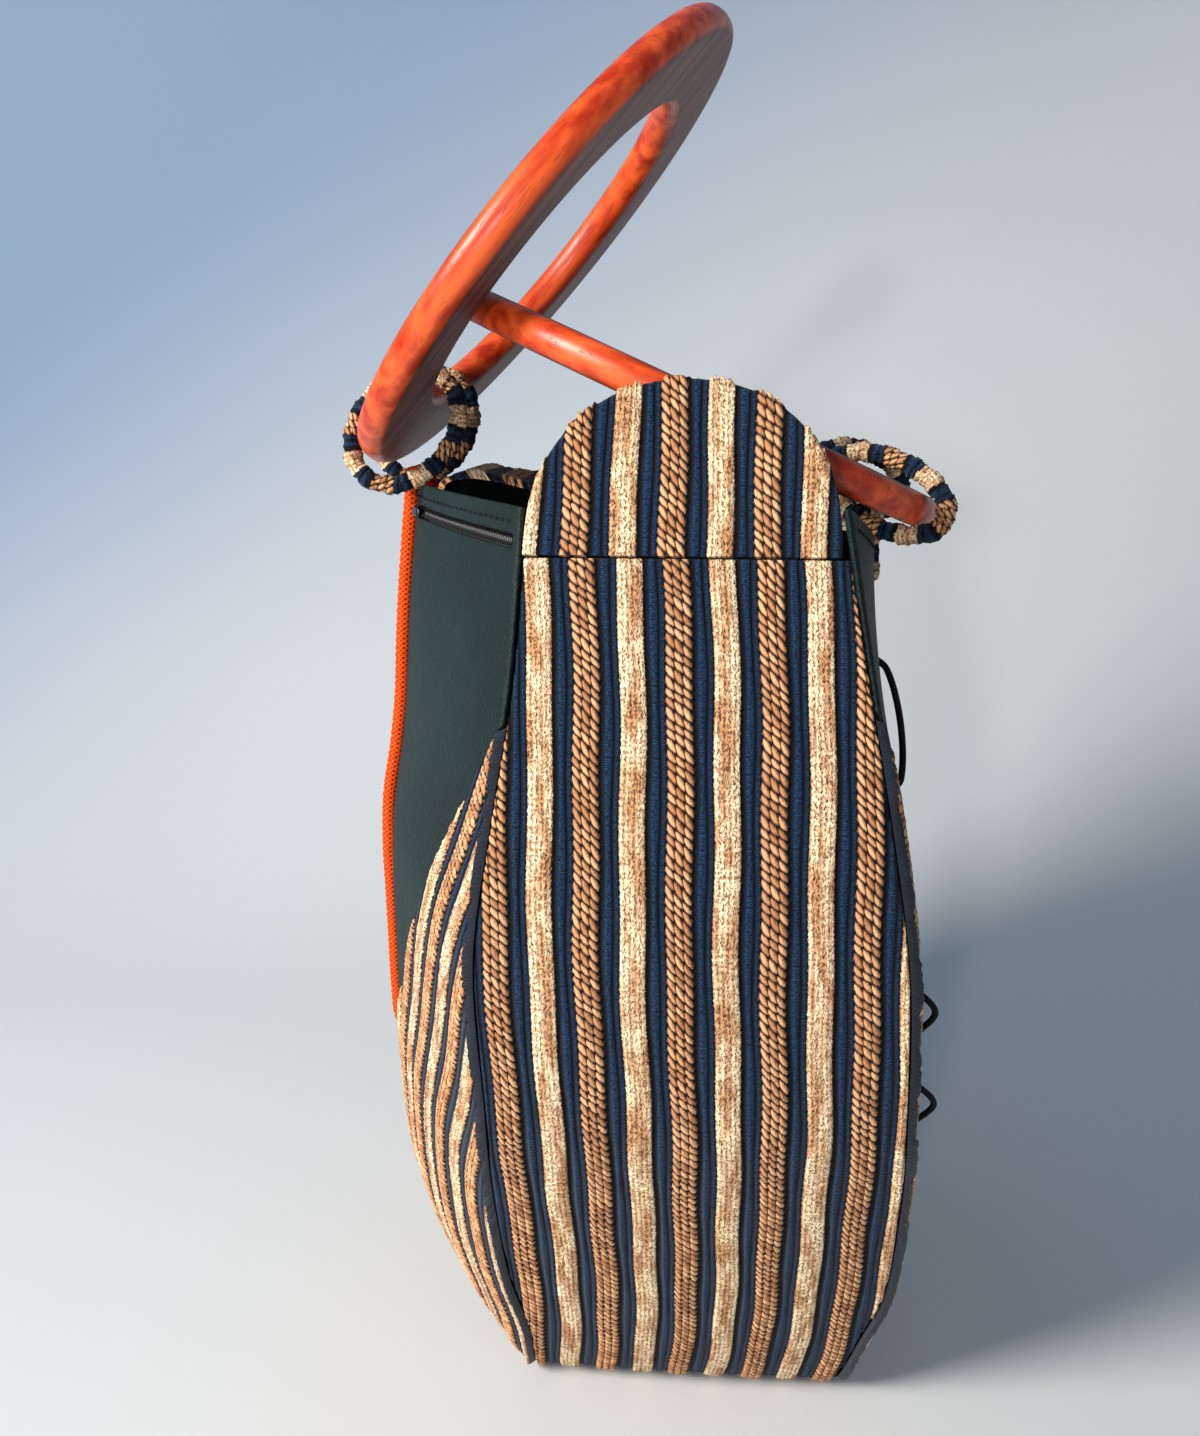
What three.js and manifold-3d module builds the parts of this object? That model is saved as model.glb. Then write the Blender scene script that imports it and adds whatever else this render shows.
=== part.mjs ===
import * as THREE from 'three';
import { mergeVertices } from 'three/addons/utils/BufferGeometryUtils.js';
import Module from 'manifold-3d';

const wasm = await Module();
wasm.setup();

// Driving dimensions in millimetres. X runs along the bag's width, Y from its front (negative)
// to its back, Z up from the floor. The near end is at positive X.
const RIM_HEIGHT = 297;
const HANDLE_DIAMETER = 174;
const HANDLE_CLEAR = 1.65;
const GUSSET_WIDTH = 118;
const FRONT_BULGE = 50;
const BACK_BULGE = 22;
const GUSSET_CROWN = 3;
const SWAY = 5;
const BACK_RIM_DROP = 16;
const FABRIC = 2.6;
const LEATHER = 1.8;
const SEAM_GAP = 0.3;

// The handles lie between the tabs, whose tops lean in to this share of the body's half width.
const TAB_TOP_SHARE = 0.73;
const HALF_WIDTH = (HANDLE_DIAMETER / 2 + HANDLE_CLEAR + FABRIC) / TAB_TOP_SHARE;

// Where the striped lower panels end and the leather begins, as shares of the rim height.
const FRONT_POINT_SHARE = 0.275;
const FRONT_SHOULDER_SHARE = 0.813;
const FRONT_CURVE = 1.12;
const BACK_POINT_SHARE = 0.2;
const BACK_SHOULDER_SHARE = 0.83;
const BACK_CURVE = 1.1;

const TAB_WIDTH = 80;
const TAB_HEIGHT = 46;
const TAB_THICKNESS = 3;
const TAB_ROUND = 41;
const TAB_SEAM_DROP = 13;

const HANDLE_BAND = 29.5;
const HANDLE_BOARD = 10;
const HANDLE_EDGE_ROUND = 4.5;
const FRONT_HANDLE_TILT = 48.7;
const BACK_HANDLE_TILT = 155.8;
const FRONT_HANDLE_OUT = 14.5;
const FRONT_HANDLE_UP = 8;
const BACK_HANDLE_OUT = 23;
const BACK_HANDLE_UP = 5.5;
const FRONT_LOOP_ANGLE = 12;
const BACK_LOOP_ANGLE = 27;
const LOOP_CORD = 6;
const LOOP_END_SLACK = 2.5;
const LOOP_FACE_SLACK = 3;

const PIPING = 4.4;
const PIPING_TUCK = 14;
const PIPING_BEND_SHARE = 0.94;

const ZIP_DROP = 9;
const ZIP_SLOT = 4;
const ZIP_START_SHARE = 0.09;
const ZIP_END_SHARE = 0.93;
const ZIP_TAPE_WIDTH = 16;
const ZIP_TAPE = 0.8;
const ZIP_COIL_WIDTH = 3;
const ZIP_COIL = 1.4;
const SLIDER_LENGTH = 9;
const SLIDER_THICKNESS = 2.2;

const STRAP_WIDTH = 42;
const STRAP_THICKNESS = 3;
const STRAP_OVERHANG = 14;
const STRAP_HEM = 20;
const STRAP_CLEAR = 0.5;
const STRAP_SAG = 10;
const STRAP_LIP_SHARE = 0.6;

const LACE = 2;
const LACE_BOW = 6.5;
const LACE_ACROSS_SHARE = 0.6;
const LACE_TURN = LACE / RIM_HEIGHT;
const LACE_TAIL = 6 * LACE_TURN;

// Rows and columns of the wall panels; the rows crowd towards the floor's tight bend.
const HALF_COLUMNS = 12;
const FULL_COLUMNS = 18;
const LOWER_ROWS = 12;
const FRONT_UPPER_ROWS = 9;
const BACK_UPPER_ROWS = 6;
const SIDE_ROWS = 18;
const FLOOR_ROWS = 4;
const CROWDING = 1.6;

// The body's levels from the floor to the rim. Heights are shares of RIM_HEIGHT, widths of
// HALF_WIDTH, gusset of GUSSET_WIDTH, front and back of the bulges, sway of SWAY, crown of
// GUSSET_CROWN. Round is the power of the front's plan curve: 1 is a sharp ridge, 2 a full bow.
const LEVELS = [
  { height: 0, width: 0.48, gusset: 0.85, front: 0, back: 0, round: 2, sway: 0, crown: 0 },
  { height: 0.006, width: 0.545, gusset: 0.85, front: 0.25, back: 0.3, round: 2, sway: 0, crown: 0 },
  { height: 0.03, width: 0.6, gusset: 0.86, front: 0.6, back: 0.55, round: 2, sway: 0.1, crown: 0.4 },
  { height: 0.1, width: 0.683, gusset: 0.89, front: 0.87, back: 0.72, round: 1.9, sway: 0.4, crown: 0.8 },
  { height: 0.2, width: 0.782, gusset: 0.97, front: 0.98, back: 0.62, round: 1.7, sway: 0.5, crown: 1 },
  { height: 0.35, width: 0.915, gusset: 0.985, front: 1.01, back: 0.46, round: 1.5, sway: 0.3, crown: 1 },
  { height: 0.45, width: 0.985, gusset: 0.97, front: 1.02, back: 0.4, round: 1.4, sway: 0.15, crown: 1 },
  { height: 0.6, width: 1, gusset: 0.965, front: 0.985, back: 0.36, round: 1.3, sway: -0.25, crown: 1 },
  { height: 0.72, width: 0.965, gusset: 0.882, front: 0.96, back: 0.38, round: 1.25, sway: -0.35, crown: 0.8 },
  { height: 0.85, width: 0.885, gusset: 0.778, front: 1.01, back: 0.45, round: 1.22, sway: -0.5, crown: 0.5 },
  { height: 1, width: 0.794, gusset: 0.69, front: 0.97, back: 0.77, round: 1.2, sway: -1, crown: 0 },
];

// Smooth value of one column of the levels at a share of the rim height.
function level(column, height) {
  const last = LEVELS.length - 1;
  let row = 0;
  while (row < last - 1 && height > LEVELS[row + 1].height) row += 1;
  const slope = (index) => {
    const before = LEVELS[Math.max(index - 1, 0)];
    const after = LEVELS[Math.min(index + 1, last)];
    return (after[column] - before[column]) / (after.height - before.height);
  };
  const low = LEVELS[row];
  const high = LEVELS[row + 1];
  const span = high.height - low.height;
  const t = (height - low.height) / span;
  const fall = 2 * t ** 3 - 3 * t ** 2 + 1;
  const lowTangent = t ** 3 - 2 * t ** 2 + t;
  const highTangent = t ** 3 - t ** 2;
  return fall * low[column] + (1 - fall) * high[column]
    + span * (lowTangent * slope(row) + highTangent * slope(row + 1));
}

const levelZ = (height) => FABRIC + height * (RIM_HEIGHT - FABRIC);
const halfWidth = (height) => HALF_WIDTH * level('width', height);
const sway = (height) => SWAY * level('sway', height);
const gussetHalf = (height) => GUSSET_WIDTH / 2 * level('gusset', height);
const frontRound = (u, height) => 1 - Math.abs(u) ** level('round', height);
const backRound = (u) => 1 - u * u;

// Inner faces of the front and back walls; u runs from -1 at the far seam to 1 at the near seam.
function frontFace(u, height) {
  const bow = FRONT_BULGE * level('front', height) * frontRound(u, height);
  const y = sway(height) - gussetHalf(height) - SEAM_GAP / 2 - bow;
  return new THREE.Vector3(u * halfWidth(height), y, levelZ(height));
}

function backFace(u, height) {
  const bow = BACK_BULGE * level('back', height) * backRound(u);
  const y = sway(height) + gussetHalf(height) + SEAM_GAP / 2 + bow;
  return new THREE.Vector3(u * halfWidth(height), y, levelZ(height));
}

// Point at a distance outside an inner face, along the face's own normal.
function outside(face, u, height, distance, side) {
  const step = 0.002;
  const span = (a, b) => face(...b).sub(face(...a));
  const across = span([Math.max(u - step, -1), height], [Math.min(u + step, 1), height]);
  const along = span([u, Math.max(height - step, 0)], [u, Math.min(height + step, 1)]);
  const normal = across.cross(along).normalize().multiplyScalar(side);
  return face(u, height).addScaledVector(normal, distance);
}

const outsideFront = (u, height, distance) => outside(frontFace, u, height, distance, 1);
const outsideBack = (u, height, distance) => outside(backFace, u, height, distance, -1);

// Closed body between two grids of points with the same rows and columns.
function body(near, far) {
  const rows = near.length;
  const columns = near[0].length;
  const points = [...near.flat(), ...far.flat()];
  const index = [];
  const at = (sheet, row, column) => sheet * rows * columns + row * columns + column;
  const quad = (a, b, c, d) => index.push(a, b, c, a, c, d);
  for (let row = 0; row < rows - 1; row += 1) {
    for (let column = 0; column < columns - 1; column += 1) {
      quad(at(0, row, column), at(0, row, column + 1), at(0, row + 1, column + 1), at(0, row + 1, column));
      quad(at(1, row, column), at(1, row + 1, column), at(1, row + 1, column + 1), at(1, row, column + 1));
    }
  }
  for (let column = 0; column < columns - 1; column += 1) {
    const end = rows - 1;
    quad(at(0, 0, column), at(1, 0, column), at(1, 0, column + 1), at(0, 0, column + 1));
    quad(at(0, end, column + 1), at(1, end, column + 1), at(1, end, column), at(0, end, column));
  }
  for (let row = 0; row < rows - 1; row += 1) {
    const end = columns - 1;
    quad(at(0, row + 1, 0), at(1, row + 1, 0), at(1, row, 0), at(0, row, 0));
    quad(at(0, row, end), at(1, row, end), at(1, row + 1, end), at(0, row + 1, end));
  }
  const geometry = new THREE.BufferGeometry();
  const numbers = points.flatMap((point) => [point.x, point.y, point.z]);
  geometry.setAttribute('position', new THREE.Float32BufferAttribute(numbers, 3));
  geometry.setIndex(volume(points, index) < 0 ? index.reverse() : index);
  geometry.computeVertexNormals();
  return geometry;
}

function volume(points, index) {
  let sum = 0;
  for (let i = 0; i < index.length; i += 3) {
    const [a, b, c] = [points[index[i]], points[index[i + 1]], points[index[i + 2]]];
    sum += a.dot(b.clone().cross(c)) / 6;
  }
  return sum;
}

const shares = (count) => Array.from({ length: count + 1 }, (_, i) => i / count);
const between = (low, high, share) => low + (high - low) * share;

// Wall patch over a range of u and, at each u, from one height to another.
function wall(offset, thickness, { from, to, columns, rows, lower, upper, power = 1 }) {
  const grid = (distance) => shares(rows).map((row) => shares(columns).map((column) => {
    const u = between(from, to, column);
    return offset(u, between(lower(u), upper(u), row ** power), distance);
  }));
  return body(grid(0), grid(thickness));
}

// Booleans on closed meshes.
function solid(geometry) {
  const bare = geometry.clone();
  bare.deleteAttribute('normal');
  bare.deleteAttribute('uv');
  const merged = mergeVertices(bare);
  return new wasm.Manifold(new wasm.Mesh({
    numProp: 3,
    vertProperties: new Float32Array(merged.attributes.position.array),
    triVerts: new Uint32Array(merged.index.array),
  }));
}

function cut(geometry, cutters) {
  const result = cutters.reduce((left, cutter) => left.subtract(solid(cutter)), solid(geometry)).getMesh();
  const cutGeometry = new THREE.BufferGeometry();
  cutGeometry.setAttribute('position', new THREE.Float32BufferAttribute(result.vertProperties, 3));
  cutGeometry.setIndex(Array.from(result.triVerts));
  cutGeometry.computeVertexNormals();
  return cutGeometry;
}

// Round cord of one diameter through a list of points.
function cord(points, diameter, { sides, steps }) {
  const corners = shares(sides).slice(1).map((share) => new THREE.Vector2(
    Math.cos(2 * Math.PI * share) * diameter / 2,
    Math.sin(2 * Math.PI * share) * diameter / 2,
  ));
  const extrudePath = new THREE.CatmullRomCurve3(points, false, 'centripetal');
  return new THREE.ExtrudeGeometry(new THREE.Shape(corners), { steps, bevelEnabled: false, extrudePath });
}

const fabricTan = new THREE.MeshStandardMaterial({ color: 0xb2805c, roughness: 0.9, metalness: 0 });
const fabricNavy = new THREE.MeshStandardMaterial({ color: 0x14284b, roughness: 0.85, metalness: 0 });
const leather = new THREE.MeshStandardMaterial({ color: 0x263e3c, roughness: 0.5, metalness: 0 });
const wood = new THREE.MeshStandardMaterial({ color: 0xbe3c1e, roughness: 0.35, metalness: 0 });
const orangeCord = new THREE.MeshStandardMaterial({ color: 0xeb5014, roughness: 0.7, metalness: 0 });
const blackTrim = new THREE.MeshStandardMaterial({ color: 0x101012, roughness: 0.5, metalness: 0 });
const zipMetal = new THREE.MeshStandardMaterial({ color: 0x2a2a2c, roughness: 0.35, metalness: 0.9 });

const bag = new THREE.Group();

function add(name, geometry, material) {
  const mesh = new THREE.Mesh(geometry, material);
  mesh.name = name;
  bag.add(mesh);
  return mesh;
}

const frontBoundary = (u) => between(FRONT_POINT_SHARE, FRONT_SHOULDER_SHARE, Math.abs(u) ** FRONT_CURVE);
const backBoundary = (u) => between(BACK_POINT_SHARE, BACK_SHOULDER_SHARE, Math.abs(u) ** BACK_CURVE);

// Half the seam's gap as a share of the rim height, kept square to the boundary's slope.
function halfGap(boundary, u) {
  const step = 0.01;
  const rise = (boundary(Math.abs(u) + step) - boundary(Math.abs(u))) * RIM_HEIGHT / (step * HALF_WIDTH);
  return SEAM_GAP / 2 * Math.hypot(1, rise) / RIM_HEIGHT;
}

const seamU = SEAM_GAP / 2 / HALF_WIDTH;
const backRim = (u) => 1 - BACK_RIM_DROP / RIM_HEIGHT * backRound(u);

// Zip slot, tape and coil follow the front's near half, a fixed drop below the rim.
const zipHeight = 1 - ZIP_DROP / RIM_HEIGHT;
const zipSpan = (width) => ({
  lower: () => zipHeight - width / 2 / RIM_HEIGHT,
  upper: () => zipHeight + width / 2 / RIM_HEIGHT,
});

function zipBar(width, inner, outer, margin) {
  const bar = {
    from: ZIP_START_SHARE - margin,
    to: ZIP_END_SHARE + margin,
    columns: 10,
    rows: 1,
    ...zipSpan(width),
  };
  const offset = (u, height, distance) => outsideFront(u, height, between(inner, outer, distance));
  return wall(offset, 1, bar);
}

function addFront() {
  const halves = [
    { end: 'near', from: seamU, to: 1 },
    { end: 'far', from: -1, to: -seamU },
  ];
  for (const { end, from, to } of halves) {
    const upperPanel = wall(outsideFront, LEATHER, {
      from,
      to,
      columns: HALF_COLUMNS,
      rows: FRONT_UPPER_ROWS,
      lower: (u) => frontBoundary(u) + halfGap(frontBoundary, u),
      upper: () => 1,
    });
    const slot = zipBar(ZIP_SLOT, -LEATHER, 2 * LEATHER, 0);
    add(`front_leather_${end}`, end === 'near' ? cut(upperPanel, [slot]) : upperPanel, leather);
    add(`front_fabric_${end}`, wall(outsideFront, FABRIC, {
      from,
      to,
      columns: HALF_COLUMNS,
      rows: LOWER_ROWS,
      power: CROWDING,
      lower: () => 0,
      upper: (u) => frontBoundary(u) - halfGap(frontBoundary, u),
    }), fabricTan);
  }
}

function addZip() {
  const tapeMargin = (ZIP_TAPE_WIDTH - ZIP_SLOT) / 4 / HALF_WIDTH;
  add('zipper_tape', zipBar(ZIP_TAPE_WIDTH, -SEAM_GAP - ZIP_TAPE, -SEAM_GAP, tapeMargin), blackTrim);
  add('zipper_coil', zipBar(ZIP_COIL_WIDTH, 0, ZIP_COIL, -SEAM_GAP / HALF_WIDTH), blackTrim);
  const slider = new THREE.BoxGeometry(SLIDER_LENGTH, SLIDER_THICKNESS, ZIP_SLOT);
  const u = ZIP_START_SHARE + SLIDER_LENGTH / HALF_WIDTH;
  const mesh = add('zipper_slider', slider, zipMetal);
  mesh.position.copy(outsideFront(u, zipHeight, LEATHER + SEAM_GAP + SLIDER_THICKNESS / 2));
  const ahead = outsideFront(u + SLIDER_LENGTH / HALF_WIDTH, zipHeight, 0);
  const here = outsideFront(u, zipHeight, 0);
  mesh.rotation.z = Math.atan2(ahead.y - here.y, ahead.x - here.x);
}

addFront();
addZip();

// Lace down the middle of the back: it runs behind the wall and comes out in bows.
// A row for each bow: the heights where it leaves and enters again, as shares of the rim height.
const BOWS = [
  { top: 0.84, bottom: 0.72, out: 0.3 },
  { top: 0.515, bottom: 0.445, out: 1 },
  { top: 0.4, bottom: 0.33, out: 1 },
];

function laceRoute() {
  const behind = -LACE / 2 - SEAM_GAP;
  const clear = FABRIC + LACE / 2 + SEAM_GAP;
  const points = [outsideBack(LACE_ACROSS_SHARE, BOWS[0].top + LACE_TAIL, behind)];
  for (const { top, bottom, out } of BOWS) {
    points.push(outsideBack(LACE_ACROSS_SHARE, top + 2 * LACE_TURN, behind));
    points.push(outsideBack(LACE_ACROSS_SHARE, top - LACE_TURN, clear));
    points.push(outsideBack(LACE_ACROSS_SHARE, (top + bottom) / 2, clear + out * LACE_BOW));
    points.push(outsideBack(LACE_ACROSS_SHARE, bottom + LACE_TURN, clear));
    points.push(outsideBack(LACE_ACROSS_SHARE, bottom - 2 * LACE_TURN, behind));
  }
  points.push(outsideBack(LACE_ACROSS_SHARE, BOWS.at(-1).bottom - LACE_TAIL, behind));
  return points;
}

function addBack() {
  const route = laceRoute();
  const passage = cord(route, LACE + 2 * SEAM_GAP, { sides: 6, steps: 72 });
  const lowerPanel = wall(outsideBack, FABRIC, {
    from: -1,
    to: 1,
    columns: FULL_COLUMNS,
    rows: LOWER_ROWS,
    power: CROWDING,
    lower: () => 0,
    upper: (u) => backBoundary(u) - halfGap(backBoundary, u),
  });
  const upperPanel = wall(outsideBack, LEATHER, {
    from: -1,
    to: 1,
    columns: FULL_COLUMNS,
    rows: BACK_UPPER_ROWS,
    lower: (u) => backBoundary(u) + halfGap(backBoundary, u),
    upper: backRim,
  });
  add('back_fabric', cut(lowerPanel, [passage]), fabricTan);
  add('back_leather', cut(upperPanel, [passage]), leather);
  add('back_lace', cord(route, LACE, { sides: 6, steps: 72 }), blackTrim);
}

addBack();

// The gusset is one strip: down the near side, under the bag and up the far side.
const gussetTop = 1 - TAB_SEAM_DROP / RIM_HEIGHT;

function gussetStations() {
  const rise = shares(SIDE_ROWS).map((share) => gussetTop * share ** CROWDING);
  const side = rise.map((height) => ({ height, x: halfWidth(height) - FABRIC }));
  const floor = shares(FLOOR_ROWS).slice(1, -1).map((share) => ({
    height: 0,
    x: between(-side[0].x, side[0].x, share),
  }));
  const farSide = side.map(({ height, x }) => ({ height, x: -x })).reverse();
  return [...farSide, ...floor, ...side];
}

function addGusset() {
  const stations = gussetStations();
  const flat = stations.map(({ height, x }) => new THREE.Vector2(x, levelZ(height)));
  const across = [-1, -0.5, 0, 0.5, 1];
  const grid = (distance) => stations.map(({ height }, i) => {
    const before = flat[Math.max(i - 1, 0)];
    const after = flat[Math.min(i + 1, flat.length - 1)];
    const along = after.clone().sub(before).normalize();
    const normal = height === 0 && Math.abs(flat[i].x) <= flat.at(-1).x * 0.5
      ? new THREE.Vector2(0, -1) : new THREE.Vector2(along.y, -along.x);
    return across.map((t) => {
      const lift = distance + GUSSET_CROWN * level('crown', height) * (1 - t * t);
      const y = sway(height) + t * (gussetHalf(height) - SEAM_GAP);
      return new THREE.Vector3(flat[i].x + normal.x * lift, y, Math.max(flat[i].y + normal.y * lift, 0));
    });
  });
  add('gusset_strip', body(grid(0), grid(FABRIC)), fabricNavy);
}

addGusset();

// Each end's tab is the strip's double, rounded top, in line with the leaning gusset.
function addTab(name, side) {
  const half = TAB_WIDTH / 2;
  const straight = TAB_HEIGHT - TAB_ROUND;
  const outline = new THREE.Shape();
  const corner = 0.6;
  outline.moveTo(-half, 0);
  outline.lineTo(half, 0);
  outline.lineTo(half, straight);
  outline.bezierCurveTo(half, straight + TAB_ROUND * corner, half * corner, TAB_HEIGHT, 0, TAB_HEIGHT);
  outline.bezierCurveTo(-half * corner, TAB_HEIGHT, -half, straight + TAB_ROUND * corner, -half, straight);
  const plate = new THREE.ExtrudeGeometry(outline, {
    depth: TAB_THICKNESS,
    bevelEnabled: false,
    curveSegments: 10,
  });
  const foot = new THREE.Vector3(halfWidth(gussetTop) - FABRIC, sway(gussetTop), levelZ(gussetTop));
  const lean = Math.atan2(halfWidth(gussetTop) - halfWidth(1), levelZ(1) - levelZ(gussetTop));
  const mesh = add(name, plate, fabricTan);
  const outward = new THREE.Vector3(side * Math.cos(lean), 0, Math.sin(lean));
  const upward = new THREE.Vector3(-side * Math.sin(lean), 0, Math.cos(lean));
  const sideways = upward.clone().cross(outward);
  mesh.quaternion.setFromRotationMatrix(new THREE.Matrix4().makeBasis(sideways, upward, outward));
  mesh.position.set(side * foot.x, foot.y, foot.z).addScaledVector(upward, SEAM_GAP);
}

addTab('near_tab', 1);
addTab('far_tab', -1);

// Handle: a flat wooden ring with rounded edges, standing on the rim and leaning inward.
function handleProfile() {
  const outer = HANDLE_DIAMETER / 2;
  const inner = outer - HANDLE_BAND;
  const half = HANDLE_BOARD / 2;
  const r = HANDLE_EDGE_ROUND;
  const section = new THREE.Shape();
  section.moveTo(inner + r, -half);
  section.lineTo(outer - r, -half);
  section.quadraticCurveTo(outer, -half, outer, -half + r);
  section.lineTo(outer, half - r);
  section.quadraticCurveTo(outer, half, outer - r, half);
  section.lineTo(inner + r, half);
  section.quadraticCurveTo(inner, half, inner, half - r);
  section.lineTo(inner, -half + r);
  section.quadraticCurveTo(inner, -half, inner + r, -half);
  return section.getPoints(1);
}

// A handle's frame: its lowest outer point, its direction of lean and its board's normal.
function handleFrame(rimPoint, tilt, out, up) {
  const angle = THREE.MathUtils.degToRad(tilt);
  const lean = new THREE.Vector3(0, Math.cos(angle), Math.sin(angle));
  const normal = new THREE.Vector3(0, -Math.sin(angle), Math.cos(angle));
  const foot = rimPoint.clone().add(new THREE.Vector3(0, out, up));
  return { foot, lean, normal, angle, centre: foot.clone().addScaledVector(lean, HANDLE_DIAMETER / 2) };
}

class Ellipse extends THREE.Curve {
  constructor(long, short) {
    super();
    this.long = long;
    this.short = short;
  }

  getPoint(t, target = new THREE.Vector3()) {
    const turn = 2 * Math.PI * t;
    return target.set(this.long * Math.cos(turn), this.short * Math.sin(turn), 0);
  }
}

// Loop of covered cord round the handle's band: its plane is square to the band, and it is
// just wide enough for its underside to lie on the rim.
function addLoop(name, frame, side, rimTop, loopAngle) {
  const angle = THREE.MathUtils.degToRad(loopAngle) * side;
  const middle = (HANDLE_DIAMETER - HANDLE_BAND) / 2;
  const xAxis = new THREE.Vector3(1, 0, 0);
  const radial = xAxis.clone().multiplyScalar(Math.sin(angle)).addScaledVector(frame.lean, -Math.cos(angle));
  const tangent = radial.clone().cross(frame.normal);
  const centre = frame.centre.clone().addScaledVector(radial, middle);
  let low = 0;
  let high = 1;
  const halvings = 40;
  const offPlane = (u) => rimTop(u * side).sub(centre).dot(tangent);
  for (let i = 0; i < halvings; i += 1) {
    const mid = (low + high) / 2;
    if (offPlane(mid) * offPlane(low) > 0) low = mid;
    else high = mid;
  }
  const seat = rimTop(low * side).sub(centre);
  const reach = new THREE.Vector2(seat.dot(radial), seat.dot(frame.normal));
  reach.setLength(reach.length() - LOOP_CORD / 2 - SEAM_GAP * 2);
  const long = HANDLE_BAND / 2 + LOOP_END_SLACK + LOOP_CORD / 2;
  const free = HANDLE_BOARD / 2 + LOOP_FACE_SLACK + LOOP_CORD / 2;
  const short = (Math.abs(reach.y) + free) / (1 + Math.sqrt(1 - (reach.x / long) ** 2));
  centre.addScaledVector(frame.normal, Math.sign(reach.y) * (short - free));
  const ring = new THREE.TubeGeometry(new Ellipse(long, short), 24, LOOP_CORD / 2, 8, true);
  const mesh = add(name, ring, fabricTan);
  mesh.quaternion.setFromRotationMatrix(new THREE.Matrix4().makeBasis(radial, frame.normal, tangent));
  mesh.position.copy(centre);
}

function addHandle(name, frame, rimTop, loopAngle) {
  const mesh = add(`${name}_handle`, new THREE.LatheGeometry(handleProfile(), 44), wood);
  mesh.rotation.x = frame.angle + Math.PI / 2;
  mesh.position.copy(frame.centre);
  addLoop(`${name}_near_loop`, frame, 1, rimTop, loopAngle);
  addLoop(`${name}_far_loop`, frame, -1, rimTop, loopAngle);
}

const frontRimTop = (u) => outsideFront(u, 1, LEATHER / 2);
const backRimTop = (u) => outsideBack(u, backRim(u), LEATHER / 2);
const frontFrame = handleFrame(frontRimTop(0), FRONT_HANDLE_TILT, -FRONT_HANDLE_OUT, FRONT_HANDLE_UP);
const backFrame = handleFrame(backRimTop(0), BACK_HANDLE_TILT, BACK_HANDLE_OUT, BACK_HANDLE_UP);
addHandle('front', frontFrame, frontRimTop, FRONT_LOOP_ANGLE);
addHandle('back', backFrame, backRimTop, BACK_LOOP_ANGLE);

// Piping: from inside the rim, over it and down the front's ridge to the fabric's point.
function addPiping() {
  const inside = PIPING / 2 + 2 * SEAM_GAP;
  const diagonal = inside * Math.SQRT1_2;
  const clear = LEATHER + inside;
  const top = frontFace(0, 1);
  const points = [
    outsideFront(0, 1 - PIPING_TUCK / RIM_HEIGHT, -inside),
    outsideFront(0, 1 - PIPING / RIM_HEIGHT, -inside),
    top.clone().add(new THREE.Vector3(0, diagonal, diagonal)),
    top.clone().add(new THREE.Vector3(0, -LEATHER / 2, inside + SEAM_GAP)),
    top.clone().add(new THREE.Vector3(0, -LEATHER - diagonal, diagonal)),
    outsideFront(0, 1 - PIPING / RIM_HEIGHT, clear),
  ];
  const ridgePoints = 10;
  const lowest = FRONT_POINT_SHARE + (FABRIC + PIPING) / RIM_HEIGHT;
  for (const share of shares(ridgePoints)) {
    points.push(outsideFront(0, between(PIPING_BEND_SHARE, lowest, share), clear));
  }
  add('piping_cord', cord(points, PIPING, { sides: 8, steps: 44 }), orangeCord);
}

addPiping();

// Strap over the opening: from inside the front, across, over the back rim and down outside.
// Its run between the rims: a row for each bend, Y as a share of the way from front to back,
// Z above the front rim as a share of STRAP_SAG.
const STRAP_RUN = [
  { across: 0.06, rise: 0.5 },
  { across: 0.14, rise: 0.4 },
  { across: 0.3, rise: -0.1 },
  { across: 0.55, rise: -0.5 },
  { across: 0.8, rise: -0.7 },
];

function addStrap() {
  const half = STRAP_WIDTH / 2;
  const tapeClear = ZIP_TAPE + 3 * SEAM_GAP;
  const inside = (height) => frontFace(half / halfWidth(height), height).y + tapeClear;
  const hemHeight = 1 - STRAP_HEM / RIM_HEIGHT;
  const lipHeight = 1 - (BACK_RIM_DROP + STRAP_OVERHANG / 3) / RIM_HEIGHT;
  const endHeight = 1 - (BACK_RIM_DROP + STRAP_OVERHANG) / RIM_HEIGHT;
  const start = inside(1);
  const columns = 6;
  const grid = (distance) => shares(columns).map((share) => {
    const x = between(-half, half, share);
    const over = backRimTop(x / halfWidth(1));
    const under = STRAP_THICKNESS - distance;
    const hem = [[inside(hemHeight) + under, levelZ(hemHeight)], [start + under, levelZ(1)]];
    const run = STRAP_RUN.map(({ across, rise }, row) => (
      [between(start, over.y, across) + (row === 0 ? under / 2 : 0), levelZ(1) + STRAP_SAG * rise - under]
    ));
    const lip = [
      [over.y - LEATHER, over.z + STRAP_CLEAR + distance],
      [over.y + LEATHER + distance * STRAP_LIP_SHARE, over.z + STRAP_CLEAR + distance * STRAP_LIP_SHARE],
    ];
    const flat = [...hem, ...run, ...lip].map(([y, z]) => new THREE.Vector3(x, y, z));
    const down = [lipHeight, endHeight].map((height) => (
      outsideBack(x / halfWidth(height), height, LEATHER + STRAP_CLEAR + distance)
    ));
    return [...flat, ...down];
  });
  add('closing_strap', body(grid(0), grid(STRAP_THICKNESS)), fabricTan);
}

addStrap();

export default bag;
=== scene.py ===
# Striped woven handbag: the dressed pieces, the light and the camera around the frame's solids.
import math

import bpy
import numpy as np
from mathutils import Matrix, Vector


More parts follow.
